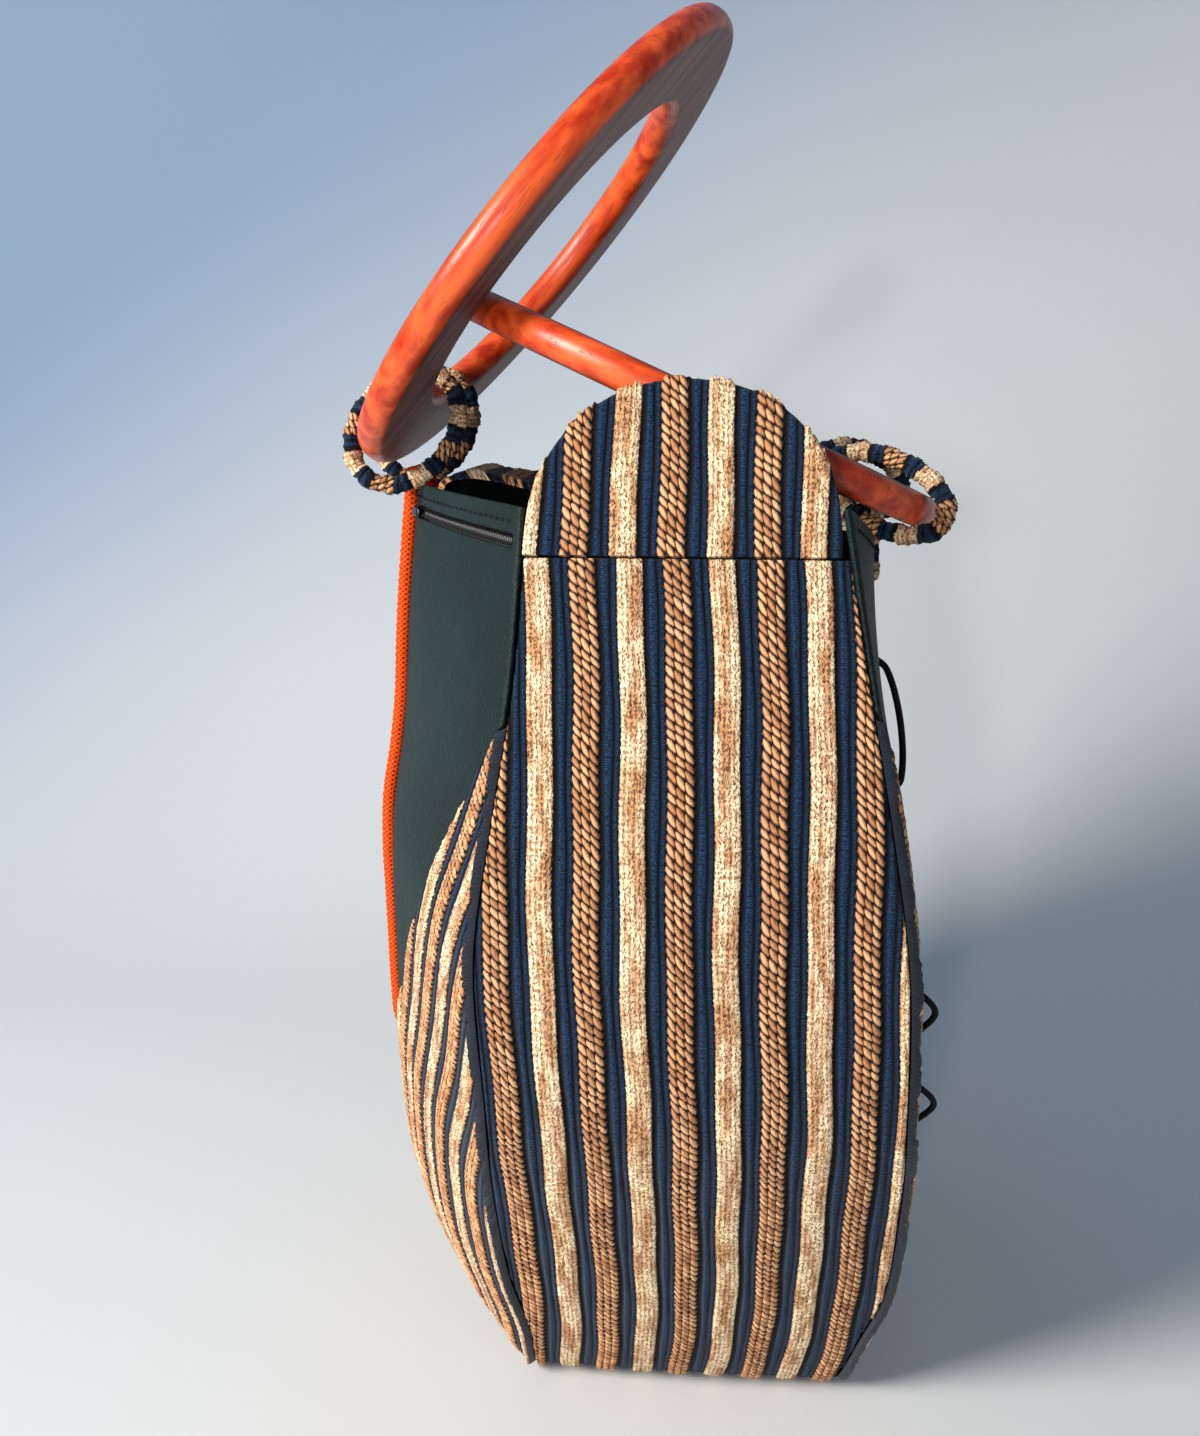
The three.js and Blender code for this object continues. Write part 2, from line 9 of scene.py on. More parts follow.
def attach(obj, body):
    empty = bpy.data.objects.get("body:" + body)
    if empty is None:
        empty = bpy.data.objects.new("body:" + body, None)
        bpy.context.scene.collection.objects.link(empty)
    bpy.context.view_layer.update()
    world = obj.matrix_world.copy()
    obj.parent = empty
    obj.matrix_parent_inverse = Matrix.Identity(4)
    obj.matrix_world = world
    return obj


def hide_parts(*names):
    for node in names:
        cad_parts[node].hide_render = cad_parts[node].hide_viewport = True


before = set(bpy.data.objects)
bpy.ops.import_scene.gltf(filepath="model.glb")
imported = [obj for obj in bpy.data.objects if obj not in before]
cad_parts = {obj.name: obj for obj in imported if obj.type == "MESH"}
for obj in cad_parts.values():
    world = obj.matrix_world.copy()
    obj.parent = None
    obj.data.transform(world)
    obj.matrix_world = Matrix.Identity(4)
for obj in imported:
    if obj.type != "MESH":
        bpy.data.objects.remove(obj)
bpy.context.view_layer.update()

MM = 0.001
UV_UNIT = 100.0
rng = np.random.default_rng(11)

# The bag's named sizes in millimetres, as in the model's source.
RIM_HEIGHT = 297.0
HALF_WIDTH = 125.0
GUSSET_WIDTH = 118.0
FRONT_BULGE = 50.0
BACK_BULGE = 22.0
GUSSET_CROWN = 3.0
SWAY = 5.0
BACK_RIM_DROP = 16.0
FABRIC = 2.6
LEATHER = 1.8
SEAM_GAP = 0.3
FRONT_POINT, FRONT_SHOULDER, FRONT_CURVE = 0.275, 0.813, 1.12
BACK_POINT, BACK_SHOULDER, BACK_CURVE = 0.2, 0.83, 1.1
TAB_WIDTH, TAB_HEIGHT, TAB_THICKNESS, TAB_ROUND, TAB_SEAM_DROP = 80.0, 46.0, 3.0, 41.0, 13.0
HANDLE_BAND, HANDLE_BOARD = 29.5, 10.0
PIPING, PIPING_TUCK, PIPING_BEND_END = 4.4, 14.0, 0.94
ZIP_DROP, ZIP_SLOT, ZIP_START = 9.0, 4.0, 0.09
STRAP_WIDTH, STRAP_THICKNESS, STRAP_OVERHANG, STRAP_HEM = 42.0, 3.0, 14.0, 20.0
STRAP_CLEAR, STRAP_LIP, ZIP_TAPE = 0.5, 0.6, 0.8
LACE, LACE_BOW, LACE_ACROSS = 2.0, 6.5, 0.6

COLUMNS = ["height", "width", "gusset", "front", "back", "round", "sway", "crown"]
LEVELS = np.array([
    [0, 0.48, 0.85, 0, 0, 2, 0, 0],
    [0.006, 0.545, 0.85, 0.25, 0.3, 2, 0, 0],
    [0.03, 0.6, 0.86, 0.6, 0.55, 2, 0.1, 0.4],
    [0.1, 0.683, 0.89, 0.87, 0.72, 1.9, 0.4, 0.8],
    [0.2, 0.782, 0.97, 0.98, 0.62, 1.7, 0.5, 1],
    [0.35, 0.915, 0.985, 1.01, 0.46, 1.5, 0.3, 1],
    [0.45, 0.985, 0.97, 1.02, 0.4, 1.4, 0.15, 1],
    [0.6, 1, 0.965, 0.985, 0.36, 1.3, -0.25, 1],
    [0.72, 0.965, 0.882, 0.96, 0.38, 1.25, -0.35, 0.8],
    [0.85, 0.885, 0.778, 1.01, 0.45, 1.22, -0.5, 0.5],
    [1, 0.794, 0.69, 0.97, 0.77, 1.2, -1, 0],
])

# The weave, with p across the stripes and q along them. A tan stripe and a navy band make one
# half period. Braid and plush take turns as the tan stripe.
HALF_PERIOD, TAN_HALF, BRAID_OFFSET = 12.1, 3.4, 2.5
STRIPE_DRIFT, STRIPE_RATE, STRIPE_TURN = 0.25, 0.13, 2.0
ROW_SLOPE, SLOPE_DRIFT, SLOPE_RATE = 0.74, 0.14, 0.045
ROW_DRIFT, ROW_RATE, ROW_TURN = 0.3, 0.7, 3.0
BEAD_PITCH, BEAD_WIDTH, BEAD_SKEW, BEAD_SQUARE = 2.7, 2.27, 0.3, 0.75
BRAID_BASE, BEAD_HEIGHT, BRAID_INSET, BEAD_BULGE = 0.3, 1.15, 0.15, 0.4
PLUSH_HEIGHT, TUFT_HEIGHT, TUFT_COLUMN, COLUMN_HEIGHT = 1.05, 0.2, 1.36, 0.14
WIDE_CORD, WIDE_HALF, WIDE_HEIGHT = 2.3, 1.3, 0.62
NARROW_CORD, NARROW_HALF, NARROW_HEIGHT = 4.45, 0.8, 0.42


def hermite(keys, values, at):
    """Smooth curve through values at keys."""
    v, k = np.pad(values, 1, "edge"), np.pad(keys, 1, "edge")
    slopes = (v[2:] - v[:-2]) / (k[2:] - k[:-2])
    row = np.clip(np.searchsorted(keys, at, side="left") - 1, 0, len(keys) - 2)
    span = keys[row + 1] - keys[row]
    t = (at - keys[row]) / span
    fall = 2 * t ** 3 - 3 * t ** 2 + 1
    tangents = (t ** 3 - 2 * t ** 2 + t) * slopes[row] + (t ** 3 - t ** 2) * slopes[row + 1]
    return fall * values[row] + (1 - fall) * values[row + 1] + span * tangents


def level(column, height):
    return hermite(LEVELS[:, 0], LEVELS[:, COLUMNS.index(column)], np.asarray(height, float))


def level_z(h):
    return FABRIC + h * (RIM_HEIGHT - FABRIC)


def half_width(h):
    return HALF_WIDTH * level("width", h)


def sway(h):
    return SWAY * level("sway", h)


def gusset_half(h):
    return GUSSET_WIDTH / 2 * level("gusset", h)


def stacked(*parts):
    """Array whose last axis runs over the parts, each spread to the shape of all."""
    return np.stack(np.broadcast_arrays(*parts), -1)


# The inner faces: u runs from -1 to 1 over the width and h from 0 at the floor to 1 at the rim.
def front_face(u, h):
    bow = FRONT_BULGE * level("front", h) * (1 - np.abs(u) ** level("round", h))
    y = sway(h) - gusset_half(h) - SEAM_GAP / 2 - bow
    return stacked(u * half_width(h), y, level_z(h))


def back_face(u, h):
    bow = BACK_BULGE * level("back", h) * (1 - u * u)
    y = sway(h) + gusset_half(h) + SEAM_GAP / 2 + bow
    return stacked(u * half_width(h), y, level_z(h))


def unit(vectors):
    return vectors / np.linalg.norm(vectors, axis=-1, keepdims=True)


def outside(face, u, h, distance):
    """Point at a distance outside an inner face, in millimetres."""
    u, h, distance = np.broadcast_arrays(*(np.asarray(v, float) for v in (u, h, distance)))
    step = 0.002
    across = face(np.minimum(u + step, 1), h) - face(np.maximum(u - step, -1), h)
    along = face(u, np.minimum(h + step, 1)) - face(u, np.maximum(h - step, 0))
    normal = unit(np.cross(across, along))
    side = 1 if face is front_face else -1
    return face(u, h) + side * distance[..., None] * normal


def front_boundary(u):
    return FRONT_POINT + (FRONT_SHOULDER - FRONT_POINT) * np.abs(u) ** FRONT_CURVE


def back_boundary(u):
    return BACK_POINT + (BACK_SHOULDER - BACK_POINT) * np.abs(u) ** BACK_CURVE


def back_rim(u):
    return 1 - BACK_RIM_DROP / RIM_HEIGHT * (1 - np.asarray(u) ** 2)


ZIP_HEIGHT = 1 - ZIP_DROP / RIM_HEIGHT


def ease(low, high, value):
    t = np.clip((value - low) / (high - low), 0, 1)
    return t * t * (3 - 2 * t)


def round_cord(offset, middle, half):
    return np.sqrt(np.clip(1 - ((offset - middle) / half) ** 2, 0, 1))


def relief(p, q):
    """Height of the weave over its ground, in millimetres."""
    k = np.floor(p / HALF_PERIOD + 0.5)
    x = p - k * HALF_PERIOD + STRIPE_DRIFT * np.sin(q * STRIPE_RATE + k * STRIPE_TURN)
    slope = ROW_SLOPE + SLOPE_DRIFT * np.sin(q * SLOPE_RATE + k)
    row = (q + slope * x + ROW_DRIFT * np.sin(q * ROW_RATE + k * ROW_TURN)) / BEAD_PITCH
    across = 2 * (row - np.floor(row)) - 1
    column = (x + TAN_HALF + BEAD_SKEW * across) / BEAD_WIDTH
    along = 2 * (column - np.floor(column)) - 1
    bead = np.sqrt(np.clip(1 - across ** 2 - BEAD_SQUARE * along ** 4, 0, 1))
    edge = TAN_HALF - BRAID_INSET + BEAD_BULGE * bead
    braid = (BRAID_BASE + BEAD_HEIGHT * bead) * np.sqrt(np.clip(1 - (x / edge) ** 4, 0, 1))
    tuft = rng.uniform(-TUFT_HEIGHT, TUFT_HEIGHT, np.shape(p))
    columns = COLUMN_HEIGHT * np.cos(2 * np.pi * x / TUFT_COLUMN)
    plush_edge = TAN_HALF + 0.15 * np.sin(q * 2.1) + 0.12 * np.sin(q * 4.7 + k)
    plush = (PLUSH_HEIGHT + tuft + columns) * np.sqrt(np.clip(1 - (x / plush_edge) ** 6, 0, 1))
    w = np.where(x > 0, x, x + HALF_PERIOD) - TAN_HALF
    wide = WIDE_HEIGHT * round_cord(w, WIDE_CORD, WIDE_HALF)
    narrow = NARROW_HEIGHT * round_cord(w, NARROW_CORD, NARROW_HALF)
    tan = np.where(k % 2 == 0, braid, plush)
    return np.where(np.abs(x) < TAN_HALF + 0.1, np.maximum(tan, 0), np.maximum(wide, narrow))


def linear(colour):
    """Linear colour of sRGB levels from 0 to 255."""
    shares = [level / 255 for level in colour]
    return [*(v / 12.92 if v <= 0.04045 else ((v + 0.055) / 1.055) ** 2.4 for v in shares), 1]


def feed(tree, value, socket):
    """Links a value or a socket to a node's socket, or sets a number or an sRGB colour on it."""
    if isinstance(value, Value):
        value = value.socket
    if isinstance(value, bpy.types.NodeSocket):
        tree.links.new(value, socket)
    else:
        socket.default_value = linear(value) if isinstance(value, tuple) else value


class Value:
    """One value in a material, combined with numbers and other values."""

    def __init__(self, tree, socket):
        self.tree = tree
        self.socket = socket

    def op(self, name, *others):
        node = self.tree.nodes.new("ShaderNodeMath")
        node.operation = name
        for value, socket in zip((self, *others), node.inputs):
            feed(self.tree, value, socket)
        return Value(self.tree, node.outputs[0])

    def __add__(self, other):
        return self.op("ADD", other)

    def __sub__(self, other):
        return self.op("SUBTRACT", other)

    def __mul__(self, other):
        return self.op("MULTIPLY", other)

    def __truediv__(self, other):
        return self.op("DIVIDE", other)

    def ramp(self, low, high):
        """0 at low, 1 at high, smooth between; low may be the larger one."""
        node = self.tree.nodes.new("ShaderNodeMapRange")
        node.interpolation_type = "SMOOTHSTEP"
        self.tree.links.new(self.socket, node.inputs["Value"])
        node.inputs["From Min"].default_value = low
        node.inputs["From Max"].default_value = high
        return Value(self.tree, node.outputs["Result"])

    def wave(self):
        """Sine between 0 and 1."""
        return self.op("SINE") * 0.5 + 0.5

    def dome(self):
        """Half-round height over the range from -1 to 1."""
        return (self * self * -1.0 + 1.0).op("MAXIMUM", 0.0).op("SQRT")


class Shader:
    """A Principled material under construction."""

    def __init__(self, name, roughness, **settings):
        self.material = bpy.data.materials.new(name)
        self.material.use_nodes = True
        self.tree = self.material.node_tree
        self.surface = self.tree.nodes["Principled BSDF"]
        self.surface.inputs["Roughness"].default_value = roughness
        for key, value in settings.items():
            self.surface.inputs[key.replace("_", " ")].default_value = value

    def node(self, kind, **settings):
        node = self.tree.nodes.new(kind)
        for key, value in settings.items():
            if key in node.inputs:
                node.inputs[key].default_value = value
            else:
                setattr(node, key, value)
        return node

    def link(self, source, target):
        feed(self.tree, source, target)

    def coordinates(self):
        """Object coordinates, in metres."""
        return self.node("ShaderNodeTexCoord").outputs["Object"]

    def weave(self):
        """Millimetres across and along the stripes."""
        node = self.node("ShaderNodeUVMap", uv_map="weave")
        split = self.node("ShaderNodeSeparateXYZ")
        self.link(node.outputs["UV"], split.inputs[0])
        return tuple(Value(self.tree, split.outputs[axis]) * UV_UNIT for axis in (0, 1))

    def vector(self, x, y, z=0.0):
        node = self.node("ShaderNodeCombineXYZ")
        for value, socket in zip((x, y, z), node.inputs):
            self.link(value, socket)
        return node.outputs[0]

    def noise(self, vector, scale=1.0, detail=3.0):
        node = self.node("ShaderNodeTexNoise", Scale=scale, Detail=detail)
        self.link(vector, node.inputs["Vector"])
        return Value(self.tree, node.outputs["Fac"])

    def cells(self, vector, scale=1.0):
        """Distance from each cell's middle and the cell's own number."""
        node = self.node("ShaderNodeTexVoronoi", Scale=scale)
        self.link(vector, node.inputs["Vector"])
        split = self.node("ShaderNodeSeparateColor")
        self.link(node.outputs["Color"], split.inputs[0])
        return Value(self.tree, node.outputs["Distance"]), Value(self.tree, split.outputs[0])

    def mix(self, factor, first, second):
        node = self.node("ShaderNodeMix", data_type="RGBA")
        for value, index in ((factor, 0), (first, 6), (second, 7)):
            self.link(value, node.inputs[index])
        return node.outputs[2]

    def colour(self, socket):
        self.link(socket, self.surface.inputs["Base Color"])

    def rough(self, value):
        self.link(value, self.surface.inputs["Roughness"])

    def bump(self, height, depth, strength=1.0):
        node = self.node("ShaderNodeBump", Strength=strength, Distance=depth)
        self.link(height, node.inputs["Height"])
        self.link(node.outputs[0], self.surface.inputs["Normal"])


# Colours of the weave, from the dark side of a yarn to its light one: painted shade in gaps, grooves and
# on the sides, and a painted highlight on the tops.
BEAD_GAP_SHADE, BEAD_SIDE_SHADE, BEAD_DEEP, BEAD_PALE = (24, 12, 8), (112, 66, 40), (176, 120, 80), (226, 172, 124)
PILE_GAP_SHADE, PILE_ROOT, PILE_TIP = (72, 36, 18), (184, 122, 72), (255, 228, 186)
WORN_ROOT, WORN_TIP = (88, 42, 18), (196, 132, 82)
NAVY_GROOVE_SHADE, NAVY_CORD, NAVY_LIT = (3, 6, 13), (5, 16, 34), (38, 80, 120)
RIB_PITCH = 0.62


def weave_material():
    s = Shader("striped_weave", 0.9, Sheen_Weight=0.08, Sheen_Roughness=0.4, Specular_IOR_Level=0.2)
    p, q = s.weave()
    k = (p / HALF_PERIOD + 0.5).op("FLOOR")
    x = p - k * HALF_PERIOD + (q * STRIPE_RATE + k * STRIPE_TURN).op("SINE") * STRIPE_DRIFT
    plush = (k * 0.5).op("FRACT").op("GREATER_THAN", 0.25)
    inside = x.op("ABSOLUTE")
    yarn = s.noise(s.vector(p * 1.4, q * 1.4))

    # Braid: slanted rows of three fat beads, with painted shade on their sides and in the gaps between
    # rows and a painted highlight on their crests, whose tone differs from bead to bead.
    slope = (q * SLOPE_RATE + k).op("SINE") * SLOPE_DRIFT + ROW_SLOPE
    row = (q + slope * x + (q * ROW_RATE + k * ROW_TURN).op("SINE") * ROW_DRIFT) / BEAD_PITCH
    across = row.op("FRACT") * 2.0 - 1.0
    column = (x + TAN_HALF + across * BEAD_SKEW) / BEAD_WIDTH
    along = column.op("FRACT") * 2.0 - 1.0
    bead = along.op("POWER", 4.0) * -BEAD_SQUARE + 1.0 - across * across
    bead = bead.op("MAXIMUM", 0.0).op("SQRT")
    own_bead = s.noise(s.vector(row.op("FLOOR") * 1.7, column.op("FLOOR") * 2.3, k), 1.0, 0.0)
    edge = bead * 0.55 + (TAN_HALF - 0.3)
    braid_in = (edge - inside).ramp(-0.1, 0.14)
    crest = s.mix(own_bead.ramp(0.3, 0.7), BEAD_DEEP, BEAD_PALE)
    # Painted shade: beads darker down their sides and in the gaps between rows, lighter on the crest.
    braid = s.mix((bead + yarn * 0.25).ramp(0.55, 1.0), BEAD_SIDE_SHADE, crest)
    braid = s.mix((bead + yarn * 0.15).ramp(0.12, 0.5), BEAD_GAP_SHADE, braid)

    # Plush: close columns of fine tufts with brown patches drawn out along the stripe, painted shade at
    # the tufts' roots and between them, and a painted highlight on their tips.
    tuft = s.noise(s.vector(p * 1.7, q * 1.1, k))
    tuft_far, own_tuft = s.cells(s.vector(x / TUFT_COLUMN, q * 1.25, k))
    patch = s.noise(s.vector(p * 0.3, q * 0.055, k * 3.0), 1.0, 2.0)
    column_top = (x * (2 * math.pi / TUFT_COLUMN)).op("COSINE") * 0.5 + 0.5
    pile = (tuft * 1.3 + column_top * 0.16 + own_tuft * 0.2).ramp(0.52, 0.92)
    # Tufts painted darker at the root as shade and lighter at the tip as a highlight.
    light = s.mix(pile, PILE_ROOT, PILE_TIP)
    brown = s.mix(pile, WORN_ROOT, WORN_TIP)
    worn = (patch + tuft * 0.35).ramp(0.6, 0.8)
    plush_colour = s.mix(worn * 0.85, light, brown)
    # Painted shade between the tufts.
    filled = (pile + yarn * 0.7 - tuft_far * 0.35).ramp(0.0, 0.3)
    plush_colour = s.mix(filled, PILE_GAP_SHADE, plush_colour)
    rag = s.noise(s.vector(k, q * 0.9), 1.0, 2.0) * 0.9 + (TAN_HALF - 0.5)
    plush_in = (rag - inside).ramp(-0.12, 0.12)

    # Navy: painted shade in the groove, a wide ribbed cord and a narrow one, and a painted highlight on
    # the lit ribs.
    w = x + x.op("LESS_THAN", 0.0) * HALF_PERIOD - TAN_HALF
    wide = ((w - WIDE_CORD) / WIDE_HALF).dome()
    narrow = ((w - NARROW_CORD) / NARROW_HALF).dome()
    ribs = (q * (2 * math.pi / RIB_PITCH) + w * 1.5 + yarn * 2.0).wave()
    cords = wide.op("MAXIMUM", narrow * 0.9)
    lit_rib = cords.ramp(0.6, 1.0) * (ribs * 0.85 + 0.15) * yarn.ramp(0.3, 0.65)
    navy = s.mix(cords.ramp(0.15, 0.85), NAVY_GROOVE_SHADE, NAVY_CORD)
    navy = s.mix(lit_rib * 0.8, navy, NAVY_LIT)

    tan_in = s.mix(plush, braid_in, plush_in)
    tan = s.mix(plush, braid, plush_colour)
    s.colour(s.mix(tan_in, navy, tan))
    heights = s.mix(plush, bead + yarn * 0.2, pile * 0.5 + tuft * 0.4)
    heights = s.mix(tan_in, cords * 0.35 + ribs * cords * 0.14, heights)
    s.bump(heights, 1.1 * MM)
    return s.material


def leather_material():
    """Dark green leather with fine pebbles and painted shade between them."""
    s = Shader("green_leather", 0.55, Specular_IOR_Level=0.2)
    at = s.coordinates()
    far, own = s.cells(at, 900.0)
    broad = s.noise(at, 14.0, 4.0)
    fine = s.noise(at, 2600.0, 2.0)
    colour = s.mix(broad.ramp(0.3, 0.7), (10, 26, 25), (20, 42, 40))
    # Painted shade in the creases between the pebbles.
    s.colour(s.mix(far.ramp(0.45, 0.95) * 0.55, colour, (12, 20, 20)))
    s.rough(own * 0.1 + broad * 0.12 + 0.5)
    s.bump(far.ramp(0.9, 0.2) + fine * 0.25, 0.55 * MM, 0.35)
    return s.material


# The ring's stain, dark to light, on its rounded walls; on its flat faces the stain, blotches and pale
# flecks are duller and greyer with painted shade and painted reflection.
WALL_STAIN, FACE_STAIN_IN_SHADE = ((172, 44, 14), (240, 96, 40)), ((88, 50, 46), (146, 98, 90))
WALL_BLOTCH, FACE_BLOTCH_IN_SHADE = (168, 42, 14), (72, 38, 36)
WALL_PORE, FACE_FLECK = (88, 18, 6), (176, 150, 146)


def wood_material():
    """Stained wood with its grain along local Y; the mesh's attribute flat marks the flat faces, whose
    colours carry painted shade and painted reflection.
    """
    s = Shader("stained_wood", 0.4, Specular_IOR_Level=0.35)
    at = s.coordinates()

    def stretched(across, along, detail):
        node = s.node("ShaderNodeMapping")
        node.inputs["Scale"].default_value = (across, along, across)
        s.link(at, node.inputs["Vector"])
        return s.noise(node.outputs[0], 1.0, detail)

    grain = stretched(190, 11, 5.0)
    streaks = stretched(1400, 90, 2.0).ramp(0.57, 0.68)
    blotch = s.noise(at, 26.0)
    flat = Value(s.tree, s.node("ShaderNodeAttribute", attribute_name="flat").outputs["Fac"])
    wall = s.mix(grain.ramp(0.32, 0.68), *WALL_STAIN)
    wall = s.mix(blotch.ramp(0.45, 0.75) * 0.25, wall, WALL_BLOTCH)
    # Flat faces: the stain dulled and greyed with painted shade and painted reflection.
    face = s.mix(grain.ramp(0.32, 0.68), *FACE_STAIN_IN_SHADE)
    face = s.mix(blotch.ramp(0.4, 0.7) * 0.4, face, FACE_BLOTCH_IN_SHADE)
    pores_and_flecks = s.mix(flat * 0.6, WALL_PORE, FACE_FLECK)
    s.colour(s.mix(streaks * (flat * 0.3 + 0.3), s.mix(flat, wall, face), pores_and_flecks))
    s.rough(grain * 0.15 + flat * 0.2 + streaks * 0.15 + 0.26)
    s.bump(grain * 0.3 - streaks * 0.3, 0.2 * MM, 0.5)
    return s.material


def cord_material(name, dark, light, scale=1.0, roughness=0.8):
    """Plaited cord: two families of crossing strands with painted shade in the gaps between them."""
    s = Shader(name, roughness, Specular_IOR_Level=0.2)
    p, q = s.weave()
    twist = (p * 3.6 * scale + q * 2.2 * scale).wave()
    counter = (p * 3.6 * scale - q * 2.2 * scale).wave()
    knit = twist.op("MAXIMUM", counter)
    fibre = s.noise(s.vector(p * 3.0, q * 3.0))
    # Painted shade: strands darker in the gaps between them, lighter on top.
    colour = s.mix((knit + fibre * 0.4).ramp(0.55, 1.1), dark, light)
    s.colour(s.mix(fibre.ramp(0.4, 0.75) * 0.4, colour, s.mix(0.5, dark, light)))
    s.bump(knit + fibre * 0.4, 0.5 * MM, 0.9)
    return s.material


def plain_cloth(name, dark, light, pitch=0.6):
    """Plain weave of warp and weft at a pitch in millimetres."""
    s = Shader(name, 0.9, Sheen_Weight=0.15)
    p, q = s.weave()
    knots = (p * (2 * math.pi / pitch)).wave() * (q * (2 * math.pi / pitch)).wave()
    broad = s.noise(s.vector(p * 0.05, q * 0.05))
    # Painted shade between the thread crossings, with broad random tone.
    s.colour(s.mix((knots * 0.5 + broad * 0.6).ramp(0.2, 0.9), dark, light))
    s.bump(knots, 0.2 * MM, 0.6)
    return s.material


def metal_material():
    s = Shader("dark_metal", 0.3, Metallic=1.0)
    wear = s.noise(s.coordinates(), 400.0)
    s.colour(s.mix(wear.ramp(0.45, 0.75), (44, 44, 48), (96, 96, 100)))
    s.rough(wear * 0.3 + 0.2)
    s.bump(wear, 0.1 * MM, 0.3)
    return s.material


def coil_material():
    s = Shader("black_coil", 0.35)
    wear = s.noise(s.coordinates(), 900.0, 2.0)
    s.colour(s.mix(wear.ramp(0.3, 0.7), (10, 10, 11), (34, 34, 36)))
    s.bump(wear, 0.05 * MM, 0.4)
    return s.material


WEAVE = weave_material()
GREEN = leather_material()
WOOD = wood_material()
ORANGE = cord_material("orange_cord", (178, 34, 0), (255, 88, 12))
BLACK_CORD = cord_material("black_elastic", (6, 6, 8), (26, 26, 30), 1.6, 0.6)
THREAD = cord_material("dark_thread", (8, 10, 12), (30, 34, 36), 2.4, 0.7)
LINING = plain_cloth("dark_lining", (14, 16, 18), (30, 32, 36))
HEM = plain_cloth("navy_hem", (4, 10, 22), (16, 38, 66))
TAPE = plain_cloth("zip_tape", (8, 8, 9), (26, 26, 28), 0.5)
COIL = coil_material()
METAL = metal_material()


def placed(name, data):
    """New object in the scene."""
    holder = bpy.data.objects.new(name, data)
    bpy.context.scene.collection.objects.link(holder)
    return holder


def mesh_object(name, points, faces, materials, uv=None, slots=None):
    """Object from points in millimetres; uv holds each point's own millimetres across and along."""
    mesh = bpy.data.meshes.new(name)
    mesh.from_pydata((np.asarray(points).reshape(-1, 3) * MM).tolist(), [], np.asarray(faces).tolist())
    for material in materials:
        mesh.materials.append(material)
    if uv is not None:
        layer = mesh.uv_layers.new(name="weave")
        corners = np.empty(len(mesh.loops), int)
        mesh.loops.foreach_get("vertex_index", corners)
        layer.data.foreach_set("uv", (np.asarray(uv).reshape(-1, 2)[corners] / UV_UNIT).ravel())
    if slots is not None:
        mesh.polygons.foreach_set("material_index", np.asarray(slots, int))
    mesh.polygons.foreach_set("use_smooth", np.ones(len(mesh.polygons), bool))
    mesh.update()
    return placed(name, mesh)


def quads(rows, columns):
    index = np.arange(rows * columns).reshape(rows, columns)
    corners = [index[:-1, :-1], index[:-1, 1:], index[1:, 1:], index[1:, :-1]]
    return np.stack(corners, -1).reshape(-1, 4)


def band_quads(rows, sides, closed=False):
    """Faces of rows rings of points, joined in turn, and the last to the first one if closed."""
    index = np.arange(rows * sides).reshape(rows, sides)
    last = rows if closed else rows - 1
    low, high = index[:last], np.roll(index, -1, 0)[:last]
    return stacked(low, np.roll(low, -1, 1), np.roll(high, -1, 1), high).reshape(-1, 4)


def finish(piece, slot, *nodes):
    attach(piece, "root")
    if nodes:
        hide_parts(*nodes)


def face_normals(points, faces):
    """Normals twice as long as the faces are large."""
    corner = points.reshape(-1, 3)[faces]
    return np.cross(corner[:, 2] - corner[:, 0], corner[:, 3] - corner[:, 1])


def middles(points, faces):
    return points.reshape(-1, 3)[faces].mean(1)


def whole(points, faces):
    """Marks the faces that aren't squeezed flat."""
    return np.linalg.norm(face_normals(points, faces), axis=1) > 1e-7


def facing(points, faces, outward):
    """Turns all faces over if their mean normal points against outward."""
    return faces if (face_normals(points, faces) * outward).sum() >= 0 else faces[:, ::-1]


def joined(name, sheets, materials):
    """One object of several sheets, each given as points, faces, uv and material slots."""
    points, faces, uvs, slots = zip(*sheets)
    starts = np.cumsum([0] + [part.size // 3 for part in points])
    return mesh_object(
        name,
        np.concatenate([part.reshape(-1, 3) for part in points]),
        np.concatenate([part + start for part, start in zip(faces, starts)]),
        materials,
        np.concatenate([part.reshape(-1, 2) for part in uvs]),
        np.concatenate([np.broadcast_to(slot, len(part)) for part, slot in zip(faces, slots)]),
    )


def lined_panel(name, outer, inner, uv, inner_uv, outward):
    """Fine woven grid, hemmed in navy at its first and last column, and a coarse lining behind it."""
    faces = quads(*outer.shape[:2])
    kept = whole(outer, faces)
    last = outer.shape[1] - 2
    column = np.arange(len(faces)) % (last + 1)
    hem = ((column == 0) | (column == last))[kept] * 2
    faces = facing(outer, faces[kept], outward)
    back = facing(inner, quads(*inner.shape[:2]), -outward)
    return joined(name, [(outer, faces, uv, hem), (inner, back, inner_uv, 1)], [WEAVE, LINING, HEM])


def lengths_along(points):
    """Distance from the first point of a line to each of its points."""
    return np.concatenate([[0], np.cumsum(np.linalg.norm(np.diff(points, axis=0), axis=1))])


def rolled(inset, thickness):
    """Share of the thickness left at an inset from an edge that rolls inward in a quarter circle."""
    e = np.clip(inset / thickness, 0, 1)
    return np.sqrt(np.clip(1 - (1 - e) ** 2, 0, 1))


# The striped panels. Their ground lies a little under the solid's face and the weave stands on it.
GROUND_DROP = 0.75
GROUND = FABRIC - GROUND_DROP
LINING_LIFT = 0.02
SEAM_ROLL, SEAM_TOUCH = 0.6, 0.12
